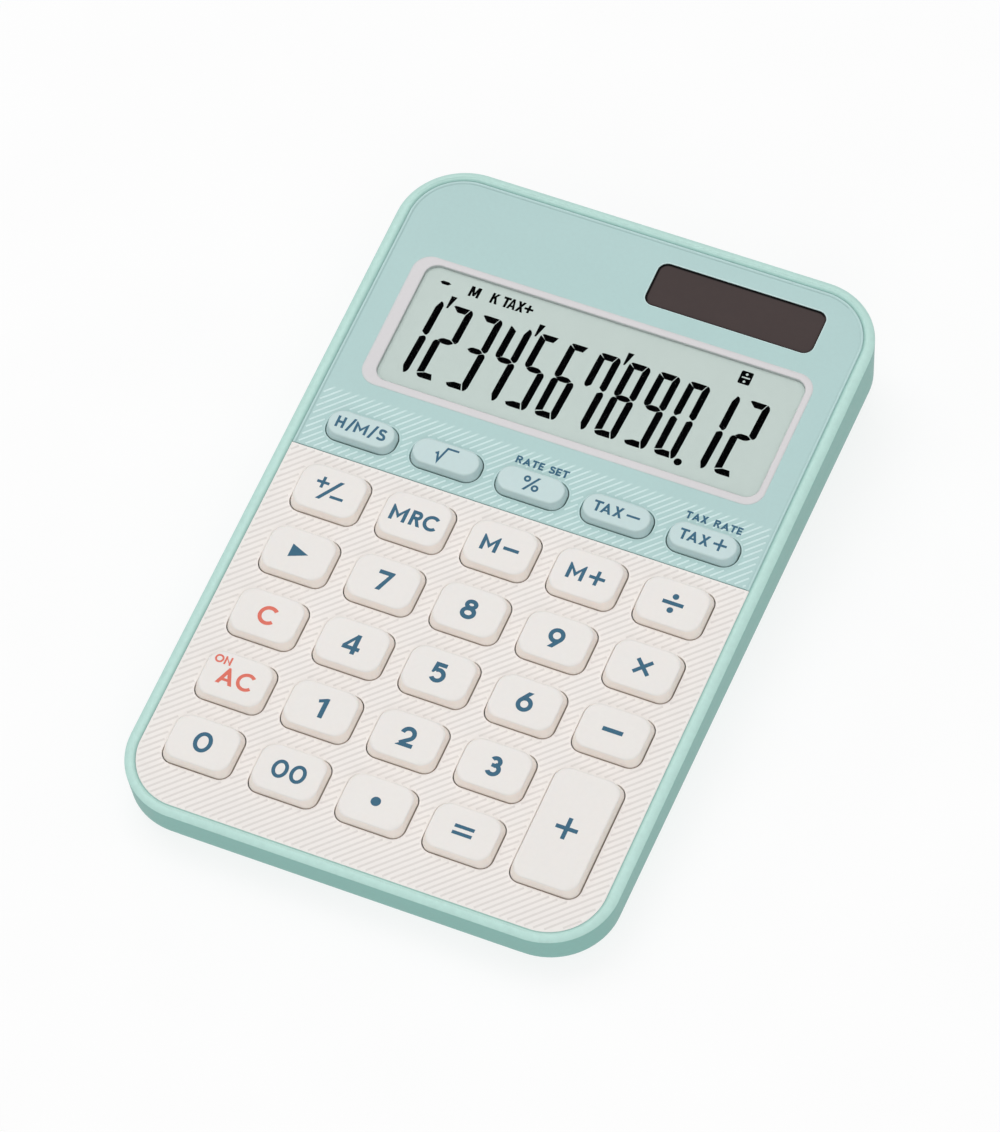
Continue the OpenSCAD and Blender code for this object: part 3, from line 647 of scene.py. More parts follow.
def build_display_plate():
    m = Mesh()
    y_cut = SPLIT_Y + 0.012

    def outl(d, dy=0.0):
        l = plate_outline(d, y_cut, False)
        l = l.copy()
        l[0, 1] = l[-1, 1] = y_cut + dy
        return l

    # edge: raised border, then a faint groove; the tint paints the border's crest lighter (painted highlight) and the
    # gap and the groove darker (painted shade)
    prof = [(0.0, -PLATE_T, -0.4), (0.0, -0.04, -0.35), (0.04, 0.02, -0.1), (0.12, 0.07, 0.1), (0.2, 0.1, 0.26), (0.3, 0.115, 0.3), (0.42, 0.1, 0.12),
            (0.52, 0.04, -0.12), (0.62, -0.01, -0.5), (0.72, -0.012, -0.4), (0.86, 0.0, 0.0)]
    rings, at = [], []
    for d, z, a in prof:
        rings.append(ring3(outl(d, 0.0 if z < -0.1 else 0.06), z))
        # the painted shade of the gap and the groove, and the painted highlight of the crest, are weaker on the right
        # side, following the light; the groove's shape is the same all round
        nrm = _normals(rings[-1][:, :2])
        at.append(np.where(nrm[:, 0] > 0.5, a * (0.2 if a < 0 else 0.8), a))
    # straight front edge keeps the face's level, so the ends of the step run into it
    m.loft(rings, attr=at)
    fl = 0.2
    top_holes, bot_holes, grown = [], [], []
    for i in range(5):
        # painted highlight: the rounded rim of each pill opening is tinted lighter
        mk = lambda g, i=i: rr(PILL_W + 2 * g, PILL_L + 2 * g, PILL_R + g, col(i), PILL_Y, 12)
        rings = [ring3(mk(0), -PLATE_T), ring3(mk(0), -fl)]
        at2 = [0.0, 0.0]
        for t in np.linspace(0, 90, 5)[1:]:
            rings.append(ring3(mk(fl * (1 - math.cos(math.radians(t)))), -fl + fl * math.sin(math.radians(t))))
            at2.append(0.5 * math.sin(math.radians(t)))
        rings.append(ring3(mk(fl + 0.12), 0.0))
        at2.append(0.0)
        m.loft(rings, attr=at2)
        top_holes.append(mk(fl + 0.12))
        bot_holes.append(mk(0))
        grown.append(rr(PILL_W + 1.0, PILL_L + 1.0, PILL_R + 0.5, col(i), PILL_Y, 7))
    for (w, l, r, x, y, ff) in ((FRAME_W + 0.1, FRAME_L + 0.1, 3.55, DISP_X, DISP_Y, 0.1), (SOLAR_W, SOLAR_L, 2, SOLAR_X, SOLAR_Y, 0.12)):
        mk = lambda g, w=w, l=l, r=r, x=x, y=y: rr(w + 2 * g, l + 2 * g, r + g, x, y, 14)
        # painted highlight: the rounded rims of the solar opening (0.6) and the display opening (0.1) are tinted
        # lighter
        lt = 0.6 if w < 50 else 0.1
        rings = [ring3(mk(0), -PLATE_T), ring3(mk(0), -ff)]
        at2 = [0.0, 0.0]
        for t in (30, 60, 90):
            rings.append(ring3(mk(ff * (1 - math.cos(math.radians(t)))), -ff + ff * math.sin(math.radians(t))))
            at2.append(lt)
        rings.append(ring3(mk(ff + 0.15), 0.0))
        at2.append(0.0)
        m.loft(rings, attr=at2)
        top_holes.append(mk(ff + 0.15))
        bot_holes.append(mk(0))
    zone = np.array([(-FACE_W / 2 + 0.88, y_cut + 0.3), (FACE_W / 2 - 0.88, y_cut + 0.3), (FACE_W / 2 - 0.88, 20.9), (-FACE_W / 2 + 0.88, 20.9)])
    lines = stripes(zone, grown, 1.165, 0.14, 0.08, 0.05, -60, 60, top_y=20.9, top_taper=1.0, rib_light_paint=0.75)
    inner = outl(0.86, 0.06)
    m.flat(inner, top_holes, 0.0, lines=lines)
    m.flat(outl(0, 0.0), bot_holes, -PLATE_T, up=False)
    o = m.obj("plate_display", [FACE_MINT], "casing", sharp=35)
    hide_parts("display_panel")
    return o


build_keypad_plate()
build_display_plate()

# ------------------------------------------------------------------ display


def build_bezel():
    m = Mesh()
    a = rr(FRAME_W, FRAME_L, 3.5, DISP_X, DISP_Y, 16)
    b = rr(WINDOW_W, WINDOW_L, 2.6, WIN_X, WIN_Y, 16)
    grow = lambda g: rr(FRAME_W + 2 * g, FRAME_L + 2 * g, 3.5 + g, DISP_X, DISP_Y, 16)
    rings, at = [ring3(a, -0.95), ring3(a, -0.02)], [0, 0]
    # thin lip over the edge of the face plate
    for g, z in ((0.12, 0.006), (0.16, 0.02), (0.16, 0.035), (0.1, 0.07), (0.0, 0.095)):
        rings.append(ring3(grow(g), z))
        at.append(-0.35)
    for s, z in ((0.1, 0.118), (0.2, 0.13), (0.4, 0.135), (0.6, 0.135), (0.8, 0.13)):
        rings.append(ring3(a + (b - a) * s, z))
        at.append(0.0)
    back_in = lambda g: rr(WINDOW_W + 2 * g, WINDOW_L + 2 * g, 2.6 + g, WIN_X, WIN_Y, 16)
    # painted shade: the window recess's inner wall is tinted darker toward its foot
    for g, z, t in ((0.2, 0.12, 0.0), (0.12, 0.1, 0.0), (0.05, 0.05, 0.2), (0.01, -0.02, 0.7), (0.0, -0.1, 1.0), (0.0, -0.3, 1.0), (0.0, -1.06, 1.0)):
        rings.append(ring3(back_in(g), z))
        at.append(t)
    rings.append(ring3(a, -0.95))
    at.append(0.0)
    m.loft(rings, attr=at)
    o = m.obj("bezel", [BEZEL], "casing", sharp=40)
    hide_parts("display_frame")


build_bezel()


def prism(m, poly, z0, z1, mat=0, bevel=0.0):
    p = np.asarray(poly, float)
    area = np.sum(p[:, 0] * np.roll(p[:, 1], -1) - np.roll(p[:, 0], -1) * p[:, 1])
    if area < 0:
        p = p[::-1]
    m.loft([ring3(p, z0), ring3(p, z1)], mat=mat, cap0=True, cap1=True)


# stroke shapes ------------------------------------------------------------


def ribbon(pts, t):
    """Outline of a line of thickness t through points, mitred, with square ends."""
    p = np.asarray(pts, float)
    d = np.diff(p, axis=0)
    d /= np.linalg.norm(d, axis=1)[:, None]
    nrm = np.column_stack([-d[:, 1], d[:, 0]])
    left, right = [], []
    for i in range(len(p)):
        if i == 0:
            n = nrm[0]
        elif i == len(p) - 1:
            n = nrm[-1]
        else:
            n = nrm[i - 1] + nrm[i]
            n /= max(np.dot(n, n), 1e-6) / 2
        left.append(p[i] + n * t / 2)
        right.append(p[i] - n * t / 2)
    return [np.array(left + right[::-1])]


def band(cx, cy, rx, ry, a0, a1, t, n=None):
    """Arc of an ellipse with thickness t, split so that no piece closes on itself."""
    out = []
    span = a1 - a0
    parts = max(1, math.ceil(abs(span) / 170))
    for k in range(parts):
        b0, b1 = a0 + span * k / parts, a0 + span * (k + 1) / parts
        nn = max(6, int(abs(b1 - b0) / 6))
        a = np.radians(np.linspace(b0, b1, nn))
        o = np.column_stack([cx + (rx + t / 2) * np.cos(a), cy + (ry + t / 2) * np.sin(a)])
        i = np.column_stack([cx + (rx - t / 2) * np.cos(a), cy + (ry - t / 2) * np.sin(a)])
        out.append(np.vstack([o, i[::-1]]))
    return out


def box(x0, y0, x1, y1):
    return [np.array([(x0, y0), (x1, y0), (x1, y1), (x0, y1)], float)]


def disc(cx, cy, r, ry=None, n=36):
    a = np.linspace(0, 2 * math.pi, n, endpoint=False)
    return [np.column_stack([cx + r * np.cos(a), cy + (ry or r) * np.sin(a)])]


def smooth(pts, n=8):
    """Catmull-Rom curve through points."""
    p = [np.array(x, float) for x in pts]
    p = [2 * p[0] - p[1]] + p + [2 * p[-1] - p[-2]]
    out = []
    for i in range(1, len(p) - 2):
        for s in np.linspace(0, 1, n, endpoint=False):
            a, b, c, d = p[i - 1], p[i], p[i + 1], p[i + 2]
            out.append(0.5 * ((2 * b) + (-a + c) * s + (2 * a - 5 * b + 4 * c - d) * s * s + (-a + 3 * b - 3 * c + d) * s ** 3))
    out.append(p[-2])
    return out


def P(*pts):
    return [np.array(pts, float)]


def glyph(ch, t):
    """Shapes of a character with cap height 1 and stroke t, and its width."""
    if ch == "0":
        w = 0.82
        return band(w / 2, 0.5, (w - t) / 2, (1 - t) / 2, 0, 360, t), w
    if ch == "O":
        w = 1.02
        return band(w / 2, 0.5, (w - t) / 2, (1 - t) / 2, 0, 360, t), w
    if ch == "1":
        return P((0.25, 0), (0.47, 0), (0.47, 1), (0.36, 1), (0, 0.84), (0.045, 0.69), (0.25, 0.77)), 0.47
    if ch == "2":
        r, cx, cy = 0.372 - t / 2, 0.385, 0.628
        a = np.radians(np.linspace(176, -46, 26))
        pts = [(cx + r * math.cos(x), cy + r * math.sin(x)) for x in a]
        pts.append((0.155, 0.12))
        return ribbon(pts, t) + P((0, 0), (0.78, 0), (0.78, t), (0.27, t), (0.0, 0.025)), 0.78
    if ch == "3":
        s = band(0.325, 0.712, 0.288 - t / 2, 0.288 - t / 2, 152, -90, t)
        s += band(0.345, 0.335, 0.335 - t / 2 + 0.01, 0.335 - t / 2, 90, -152, t)
        s += box(0.2, 0.445, 0.36, 0.445 + t * 0.9)
        return s, 0.69
    if ch == "4":
        s = box(0.46, 0, 0.67, 1) + box(0.0, 0.19, 0.82, 0.19 + t * 0.95)
        s += P((0, 0.19), (0.22, 0.3), (0.22, 0.39), (0.56, 0.86), (0.56, 1), (0.5, 1), (0, 0.36))
        return s, 0.82
    if ch == "5":
        s = band(0.365, 0.368, 0.368 - t / 2, 0.368 - t / 2, 128, -148, t)
        s += P((0.09, 1), (0.285, 1), (0.25, 0.6), (0.13, 0.44), (0.04, 0.47)) + P((0.09, 1 - t), (0.62, 1 - t), (0.62, 1), (0.09, 1))
        return s, 0.735
    if ch in "69":
        r = 0.378 - t / 2
        s = band(0.378, 0.378, r, r, 0, 360, t)
        s += P((0.07, 0.594), (0.225, 0.47), (0.61, 1), (0.36, 1))
        if ch == "9":
            s = [np.column_stack([0.756 - q[:, 0], 1 - q[:, 1]]) for q in s]
        return s, 0.756
    if ch == "7":
        return P((0.13, 0), (0.355, 0), (0.735, 0.93), (0.735, 1), (0, 1), (0, 1 - t), (0.49, 1 - t)), 0.735
    if ch == "8":
        s = band(0.365, 0.74, 0.305 - t / 2, 0.262 - t / 2, 0, 360, t * 0.98)
        s += band(0.365, 0.32, 0.365 - t / 2, 0.32 - t / 2, 0, 360, t)
        return s, 0.73
    if ch == "M":
        w = 1.0
        return P((0, 0), (t, 0), (t, 0.62), (w / 2, 0.17), (w - t, 0.62), (w - t, 0), (w, 0), (w, 1), (w - 0.07, 1),
                 (w / 2, 0.48), (0.07, 1), (0, 1)), w
    if ch == "A":
        w, a = 0.92, 0.05
        tx = t * 1.12
        yi = (w / 2 - tx) / (w / 2 - a)
        y0, y1 = 0.2, 0.2 + t * 0.82
        f = lambda y: y * (w / 2 - a)
        return P((0, 0), (tx, 0), (w / 2, yi), (w - tx, 0), (w, 0), (w / 2 + a, 1), (w / 2 - a, 1)) + \
            P((f(y0) + 0.05, y0), (w - f(y0) - 0.05, y0), (w - f(y1) - 0.05, y1), (f(y1) + 0.05, y1)), w
    if ch == "C":
        r = 0.5 - t / 2
        return band(0.5, 0.5, r, r, 44, 316, t), 0.86
    if ch == "R":
        r = 0.295 - t / 2
        s = box(0, 0, t, 1) + box(t * 0.5, 1 - t, 0.40, 1) + box(t * 0.5, 0.41, 0.40, 0.41 + t * 0.95)
        s += band(0.40, 0.705, r, r, -90, 90, t) + P((0.27, 0.47), (0.49, 0.47), (0.76, 0), (0.51, 0))
        return s, 0.76
    if ch == "T":
        w = 0.72
        return box(0, 1 - t, w, 1) + box(w / 2 - t / 2, 0, w / 2 + t / 2, 1), w
    if ch == "X":
        w, k = 0.8, t * 1.18
        return P((0, 0), (k, 0), (w, 1), (w - k, 1)) + P((w - k, 0), (w, 0), (k, 1), (0, 1)), w
    if ch == "E":
        return box(0, 0, t, 1) + box(0, 0, 0.58, t) + box(0, 1 - t, 0.58, 1) + box(0, 0.5 - t / 2, 0.53, 0.5 + t / 2), 0.58
    if ch == "H":
        w = 0.72
        return box(0, 0, t, 1) + box(w - t, 0, w, 1) + box(0, 0.5 - t / 2, w, 0.5 + t / 2), w
    if ch == "N":
        w = 0.8
        return box(0, 0, t, 1) + box(w - t, 0, w, 1) + P((0, 1), (0.1, 1), (w, 0.05), (w, 0), (w - 0.1, 0), (0, 0.95)), w
    if ch == "K":
        w = 0.78
        return box(0, 0, t, 1) + P((t * 0.8, 0.36), (t * 0.8, 0.62), (0.5, 1), (0.74, 1)) + P((0.27, 0.62), (0.42, 0.74), (w, 0), (w - 0.27, 0)), w
    if ch == "S":
        h = t / 2
        pts = smooth([(0.55, 0.80), (0.45, 0.965 - h), (0.31, 1.0 - h), (0.15, 0.93 - h * 0.6), (0.06 + h * 0.6, 0.745), (0.16, 0.60), (0.31, 0.53),
                      (0.47, 0.45), (0.60 - h * 0.5, 0.28), (0.50, 0.075 + h * 0.7), (0.32, h), (0.15, 0.03 + h), (0.04, 0.20)], 5)
        return ribbon(pts, t), 0.62
    raise ValueError(ch)


def put(shapes, x, y, sx=1.0, sy=1.0):
    return [np.column_stack([x + q[:, 0] * sx, y + q[:, 1] * sy]) for q in shapes]


def G(ch, x0, x1, y0, cap, t):
    """Character fitted between x0 and x1 with its foot at y0."""
    _, w = glyph(ch, t / cap)
    sx = (x1 - x0) / w
    shapes, _ = glyph(ch, t / cap * (1 if sx >= cap * 0.9 else min(1.2, cap / sx * 0.95) if sx > 0 else 1))
    return put(shapes, x0, y0, sx, cap)


def word(s, x0, y0, cap, t, gap, space=0.5):
    out, x = [], x0
    for ch in s:
        if ch == " ":
            x += space
            continue
        shapes, w = glyph(ch, t / cap)
        out += put(shapes, x, y0, cap, cap)
        x += w * cap + gap
    return out, x - gap


def union_print(m, shapes, z, th, mat=0):
    """Joins overlapping shapes into one thin raised print on the height z(x, y)."""
    vs, fs = [], []
    for q in shapes:
        s = len(vs)
        area = np.sum(q[:, 0] * np.roll(q[:, 1], -1) - np.roll(q[:, 0], -1) * q[:, 1])
        if area < 0:
            q = q[::-1]
        vs += [Vector((float(a), float(b))) for a, b in q]
        fs.append(list(range(s, s + len(q))))
    ov, oe, of, a_, b_, c_ = delaunay_2d_cdt(vs, [], fs, 1, 1e-4, True)
    tris = [tuple(f) for f, o in zip(of, c_) if o]
    n = len(ov)
    zz = np.array([z(p.x, p.y) for p in ov])
    xy = np.array([(p.x, p.y) for p in ov])
    verts = np.vstack([np.column_stack([xy, zz + th]), np.column_stack([xy, zz - 0.02])])
    faces = list(tris) + [tuple(n + i for i in reversed(t)) for t in tris]
    edges = {}
    for t in tris:
        for i in range(3):
            e = (t[i], t[(i + 1) % 3])
            edges[e] = edges.get(e, 0) + 1
    for (a, b) in edges:
        if (b, a) not in edges:
            faces.append((a, n + a, n + b, b))
    m.add(verts, faces, mat)


# the display's segments ------------------------------------------------------
SEGMENTS = {
    "a": [(-4.12, 45.5), (-3.95, 45.68), (-3.5, 45.74), (-0.92, 45.74), (-1.5, 44.44), (-2.95, 44.42), (-3.15, 44.52)],
    "b": [(-0.76, 45.68), (-0.48, 45.6), (-0.19, 45.3), (0, 44.8), (-0.22, 38.35), (-0.35, 38.02), (-0.55, 37.75), (-0.82, 37.7), (-1.6, 38.28), (-1.37, 44.25)],
    "c": [(-1.62, 37.0), (-0.92, 37.42), (-0.7, 37.42), (-0.4, 37.2), (-0.22, 36.7), (-0.58, 30.1), (-0.64, 29.4), (-0.82, 28.95), (-1.08, 28.62), (-1.38, 28.55), (-1.95, 30.0)],
    "d": [(-4.95, 29.28), (-4.68, 28.8), (-4.15, 28.55), (-1.68, 28.55), (-2.12, 29.86), (-3.55, 29.86)],
    "e": [(-4.35, 37.42), (-4.62, 37.25), (-4.84, 36.8), (-5.06, 30.2), (-5.06, 29.55), (-3.72, 30.0), (-3.42, 36.98), (-4.08, 37.42)],
    "f": [(-4.4, 45.0), (-4.3, 45.28), (-3.08, 44.42), (-3.08, 44.2), (-3.34, 38.35), (-4.05, 37.72), (-4.3, 37.75), (-4.6, 38.05), (-4.72, 38.5)],
    "g": [(-4.1, 37.55), (-3.65, 37.98), (-3.15, 38.18), (-2.0, 38.18), (-1.5, 37.98), (-1.02, 37.6), (-1.5, 37.18), (-2.0, 36.98), (-3.1, 36.98), (-3.6, 37.15)],
}
LIT = {"0": "abcdef", "1": "bc", "2": "abged", "3": "abgcd", "4": "fgbc", "5": "afgcd", "6": "afgecd", "7": "abcf", "8": "abcdefg", "9": "abcdfg"}


def slanted(shapes, y0, k):
    return [np.column_stack([q[:, 0] + (q[:, 1] - y0) * k, q[:, 1]]) for q in shapes]


def swollen(q, d):
    """Outline moved outwards by d."""
    q = np.array(q, float)
    nx = np.roll(q, -1, 0)
    if (q[:, 0] * nx[:, 1] - nx[:, 0] * q[:, 1]).sum() < 0:
        q = q[::-1]
    e = np.roll(q, -1, 0) - q
    nrm = np.column_stack([e[:, 1], -e[:, 0]]) / np.linalg.norm(e, axis=1)[:, None]
    mid = nrm + np.roll(nrm, 1, 0)
    mid /= np.linalg.norm(mid, axis=1)[:, None]
    return q + mid * (d / np.maximum(0.6, (mid * nrm).sum(1)))[:, None]


def build_lcd():
    m = Mesh()
    z0, z1 = LCD_Z - 0.01, LCD_Z + 0.012
    for n, ch in enumerate("123456789012"):
        for sg in LIT[ch]:
            prism(m, swollen([(x - 31.9 + 6.098 * n, y) for x, y in SEGMENTS[sg]], 0.022), z0, z1)
    # apostrophes after every third place, decimal point
    for n in (0, 3, 6):
        prism(m, [(x + 6.098 * n, y) for x, y in ((-31.3, 47.5), (-30.1, 47.5), (-30.95, 44.65), (-31.3, 44.6))], z0, z1)
    m.loft([ring3(circle(0.78, 23.2, 28.3, 28), z0), ring3(circle(0.78, 23.2, 28.3, 28), z1)], cap0=True, cap1=True)
    # minus sign, a pointed lens
    prism(m, [(-34.7, 49.8), (-34.3, 50.15), (-33.0, 50.15), (-32.45, 49.85), (-33.0, 49.4), (-34.2, 49.4)], z0, z1)
    # small indicators
    sh = []
    bold = {
        "M": box(0, 0, 0.25, 1) + box(0.75, 0, 1, 1) + P((0.04, 1), (0.33, 1), (0.6, 0.1), (0.4, 0.1)) + P((0.67, 1), (0.96, 1), (0.6, 0.1), (0.4, 0.1)),
        "K": box(0, 0, 0.32, 1) + P((0.28, 0.36), (0.28, 0.66), (0.62, 1), (0.98, 1)) + P((0.36, 0.6), (0.58, 0.74), (1.0, 0), (0.64, 0)),
        "A": P((0, 0), (0.29, 0), (0.5, 0.74), (0.5, 1), (0.36, 1)) + P((1, 0), (0.71, 0), (0.5, 0.74), (0.5, 1), (0.64, 1)) + box(0.22, 0.2, 0.78, 0.38),
        "X": P((0, 0), (0.34, 0), (1, 1), (0.66, 1)) + P((0.66, 0), (1, 0), (0.34, 1), (0, 1)),
    }
    for ch, xa, xb in (("M", -28.55, -26.45), ("K", -24.1, -22.55), ("A", -20.55, -18.9), ("X", -18.8, -17.25)):
        sh += put(bold[ch], xa, 48.62, xb - xa, 2.36)
    sh += box(-21.75, 50.48, -20.3, 50.98) + box(-21.26, 48.62, -20.74, 50.7)
    sh += box(-17.2, 49.58, -15.4, 50.06) + box(-16.56, 48.93, -16.08, 50.73)
    union_print(m, slanted(sh, 49.8, 0.035), lambda x, y: LCD_Z, 0.012)
    # boxed division sign
    b = rr(2.4, 2.9, 0.3, 28.15, 49.95, 5)
    m.loft([ring3(b, z0), ring3(b, z1)], cap0=True, cap1=True)
    m.obj("lcd_digits", [LCD_INK], "casing", sharp=20)
    m2 = Mesh()
    for q in box(27.4, 49.83, 29.0, 50.11) + disc(28.15, 50.75, 0.26) + disc(28.15, 49.1, 0.26):
        prism(m2, q, z1 - 0.006, z1 + 0.006)
    m2.obj("lcd_marks", [LCD_GLASS], "casing", sharp=20)
    # pale seal between the glass and the frame
    m3 = Mesh()
    ring = lambda g, z: ring3(rr(WINDOW_W - 2 * g, WINDOW_L - 2 * g, 2.6 - g, WIN_X, WIN_Y, 14), z)
    m3.loft([ring(0.03, -1.04), ring(0.03, -0.68), ring(0.05, -0.665), ring(0.37, -0.665), ring(0.39, -0.68), ring(0.39, -1.04), ring(0.03, -1.04)])
    m3.obj("lcd_seal", [LCD_GLASS], "casing", sharp=40)


build_lcd()


def build_solar():
    m = Mesh()
    w, l_, r = SOLAR_W - 0.1, SOLAR_L - 0.1, 1.95

    def ring(d, z):
        return ring3(rr(w - 2 * d, l_ - 2 * d, r - d, SOLAR_X, SOLAR_Y, 12), z)

    # shallow tray: its near-black wall tint is painted shade, strongest on the left and back walls, which face away
    # from the light; the wall that faces the light stays paler
    def side(hi, lo):
        l = rr(w, l_, r, 0, 0, 12)
        return np.where((l[:, 0] < -w / 2 + 0.6) | (l[:, 1] > l_ / 2 - 0.6), hi, lo)

    rings = [ring(0, -0.78), ring(0, -0.14), ring(0.03, -0.08), ring(0.09, -0.045), ring(0.17, -0.045), ring(0.2, -0.07), ring(0.21, -0.26), ring(0.24, -0.28), ring(0.5, -0.28)]
    m.loft(rings, attr=[1, 1, side(1.0, 0.5), side(1.0, 0.25), side(1.0, 0.25), side(1.0, 0.3), side(1.0, 0.4), side(0.9, 0.1), 0], cap0=True, cap1=True)
    o = m.obj("solar_glass", [SOLAR_GLASS], "casing", sharp=40)
    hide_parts("solar_window")


build_solar()

# ------------------------------------------------------------------ keys


def build_key(name, node, w, l, r, h, soft, x, y, mat):
    """A hollow moulded key: crowned top, soft upper edge, drafted skirt, retaining flange and plunger."""
    m = Mesh()
    n = 12

    def ring(d, z):
        return ring3(rr(w - 2 * d, l - 2 * d, min(r + min(1.2, d * 2.0), min(w, l) / 2 - d - 0.02), x, y, n), z)

    rings, at = [], []

    def put_ring(d, z, a=0.0):
        rings.append(ring(d, z))
        at.append(a)

    # top, from the middle outwards
    top_in = 0.24 + soft
    put_ring(top_in + 1.4, h, 0.0)
    put_ring(top_in + 0.25, h - 0.006, 0.0)
    # painted light: over the lower part of the upper edge and down the wall the key takes its material's tint, lighter
    # and warmer on cream keys and a little darker on mint keys, standing in for how the sides are lit
    for t in np.linspace(6, 84, 8):
        a = math.radians(t)
        put_ring(0.24 + soft * (1 - math.sin(a)) * 1.0, h - soft * 0.92 * (1 - math.cos(a)), 0.0 if t < 60 else min(1.0, (t - 60) / 24))
    put_ring(0.2, h - soft - 0.08, 1.0)
    put_ring(-0.05, 0.1, 1.0)
    put_ring(-0.06, 0.02, 0.9)
    # painted shade: below the face plate's level the wall turns dark, the shade in the gap around the key
    put_ring(-0.07, -0.06, -0.5)
    put_ring(-0.07, -0.14, -1.0)
    put_ring(-0.03, -1.9, -1.0)
    put_ring(0.0, -2.05, 0.0)
    # flange
    fl = ring3(rr(w + 2.1, l + 2.1, r + 0.8, x, y, n), -2.05)
    rings.append(fl); at.append(0.0)
    rings.append(ring3(rr(w + 2.1, l + 2.1, r + 0.8, x, y, n), -2.85)); at.append(1.0)
    pk = rr(w - 2.4, l - 2.4, max(r - 1, 0.8), x, y, n)
    rings.append(ring3(pk, -2.85)); at.append(1.0)
    rings.append(ring3(pk, h - 1.3)); at.append(1.0)
    rings.reverse()
    at.reverse()
    m.loft(rings, attr=at, cap0=True, cap1=True)
    pr = min(l / 2 - 1.6, 1.9)
    m.loft([ring3(circle(pr - 0.2, x, y, 28), -3.3), ring3(circle(pr, x, y, 28), -3.15), ring3(circle(pr, x, y, 28), h - 1.0)], attr=[1, 1, 1], cap0=True, cap1=True)
    o = m.obj(name, [mat], node, sharp=42)
    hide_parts(node)
    return o


MAIN = {
    "key_sign": (0, 0), "key_memory_recall": (1, 0), "key_memory_minus": (2, 0), "key_memory_plus": (3, 0), "key_divide": (4, 0),
    "key_shift": (0, 1), "key_7": (1, 1), "key_8": (2, 1), "key_9": (3, 1), "key_multiply": (4, 1),
    "key_clear": (0, 2), "key_4": (1, 2), "key_5": (2, 2), "key_6": (3, 2), "key_minus": (4, 2),
    "key_all_clear": (0, 3), "key_1": (1, 3), "key_2": (2, 3), "key_3": (3, 3),
    "key_0": (0, 4), "key_00": (1, 4), "key_point": (2, 4), "key_equals": (3, 4),
}
PILLS = ["key_hms", "key_root", "key_percent", "key_tax_minus", "key_tax_plus"]
kw, kl, kr = KEY_W - 2 * KEY_GAP, KEY_L - 2 * KEY_GAP, KEY_R - 0.15
for node, (i, j) in MAIN.items():
    build_key("cap_" + node[4:], node, kw, kl, kr, KEY_H, 0.34, col(i), row(j), KEY_CREAM)
PLUS_Y = (row(3) + row(4)) / 2
build_key("cap_plus", "key_plus", kw, kl + ROW, kr, KEY_H, 0.34, col(4), PLUS_Y, KEY_CREAM)
for i, node in enumerate(PILLS):
    build_key("cap_" + node[4:], node, PILL_W - 2 * KEY_GAP, PILL_L - 2 * KEY_GAP, PILL_R - 0.25, PILL_H, 0.36, col(i), PILL_Y, KEY_MINT)


# ------------------------------------------------------------------ printed legends
def legend(name, node, shapes, x, y, z, mat, body=None):
    m = Mesh()
    union_print(m, put(shapes, x, y), lambda a, b: z, 0.012)
    return m.obj(name, [mat], body or node, sharp=30, weld=2e-4)


def digit_at(ch, h, w, t, dx=0.0):
    g, gw = glyph(ch, t / h)
    return put(g, dx - w / 2, -h / 2, w / gw, h)


T0 = 0.82
LEG = {}
for ch, w in (("1", 2.0), ("2", 3.3), ("3", 2.98), ("4", 3.45), ("5", 3.12), ("6", 3.18), ("7", 3.1), ("8", 3.1), ("9", 3.18)):
    LEG["key_" + ch] = (digit_at(ch, 4.27, w, 0.86), INK_BLUE)
LEG["key_0"] = (band(0, 0, (3.6 - 0.8) / 2, (4.35 - 0.8) / 2, 0, 360, 0.8), INK_BLUE)
LEG["key_00"] = (band(-1.79, 0, (3.15 - 0.72) / 2, (3.9 - 0.72) / 2, 0, 360, 0.72) + band(1.79, 0, (3.15 - 0.72) / 2, (3.9 - 0.72) / 2, 0, 360, 0.72), INK_BLUE)
LEG["key_point"] = (disc(0, 0, 0.97), INK_BLUE)
LEG["key_equals"] = (box(-1.95, 0.36, 1.95, 1.07) + box(-1.95, -1.07, 1.95, -0.36), INK_BLUE)
LEG["key_divide"] = (box(-2.08, -0.4, 2.08, 0.4) + disc(0, 1.5, 0.62) + disc(0, -1.5, 0.62), INK_BLUE)
d = 0.78 * math.sqrt(0.5)
LEG["key_multiply"] = (P((-1.75, -1.75 + d), (-1.75 + d, -1.75), (1.75, 1.75 - d), (1.75 - d, 1.75)) + P((1.75, -1.75 + d), (1.75 - d, -1.75), (-1.75, 1.75 - d), (-1.75 + d, 1.75)), INK_BLUE)
LEG["key_minus"] = (box(-2.02, -0.45, 2.02, 0.45), INK_BLUE)
LEG["key_plus"] = (box(-2.15, -0.41, 2.15, 0.41) + box(-0.41, -2.3, 0.41, 2.3), INK_BLUE)
LEG["key_shift"] = (P((-1.68, -1.45), (1.92, 0.0), (-1.68, 1.45)), INK_BLUE)
LEG["key_clear"] = (band(0.28, 0, 2.035 - 0.38, 2.035 - 0.38, 43, 317, 0.76), INK_CORAL)
LEG["key_all_clear"] = (put(glyph("A", 0.69 / 3.6)[0], -3.32, -1.95, 3.35 / 0.92, 3.6) + band(2.30, -0.12, 1.92 - 0.34, 1.92 - 0.34, 43, 317, 0.69), INK_CORAL)
on, _ = word("ON", 0, 0, 1.75, 0.37, 0.18)
LEG["key_memory_recall"] = (put(glyph("M", 0.215)[0], -4.82, -1.67, 3.28, 3.35) + put(glyph("R", 0.22)[0], -0.82, -1.62, 3.1, 3.3) + band(3.43, 0.02, 1.70 - 0.35, 1.70 - 0.35, 43, 317, 0.70), INK_BLUE)
LEG["key_memory_minus"] = (put(glyph("M", 0.215)[0], -3.68, -1.68, 3.34, 3.38) + box(0.66, -0.35, 3.76, 0.35), INK_BLUE)
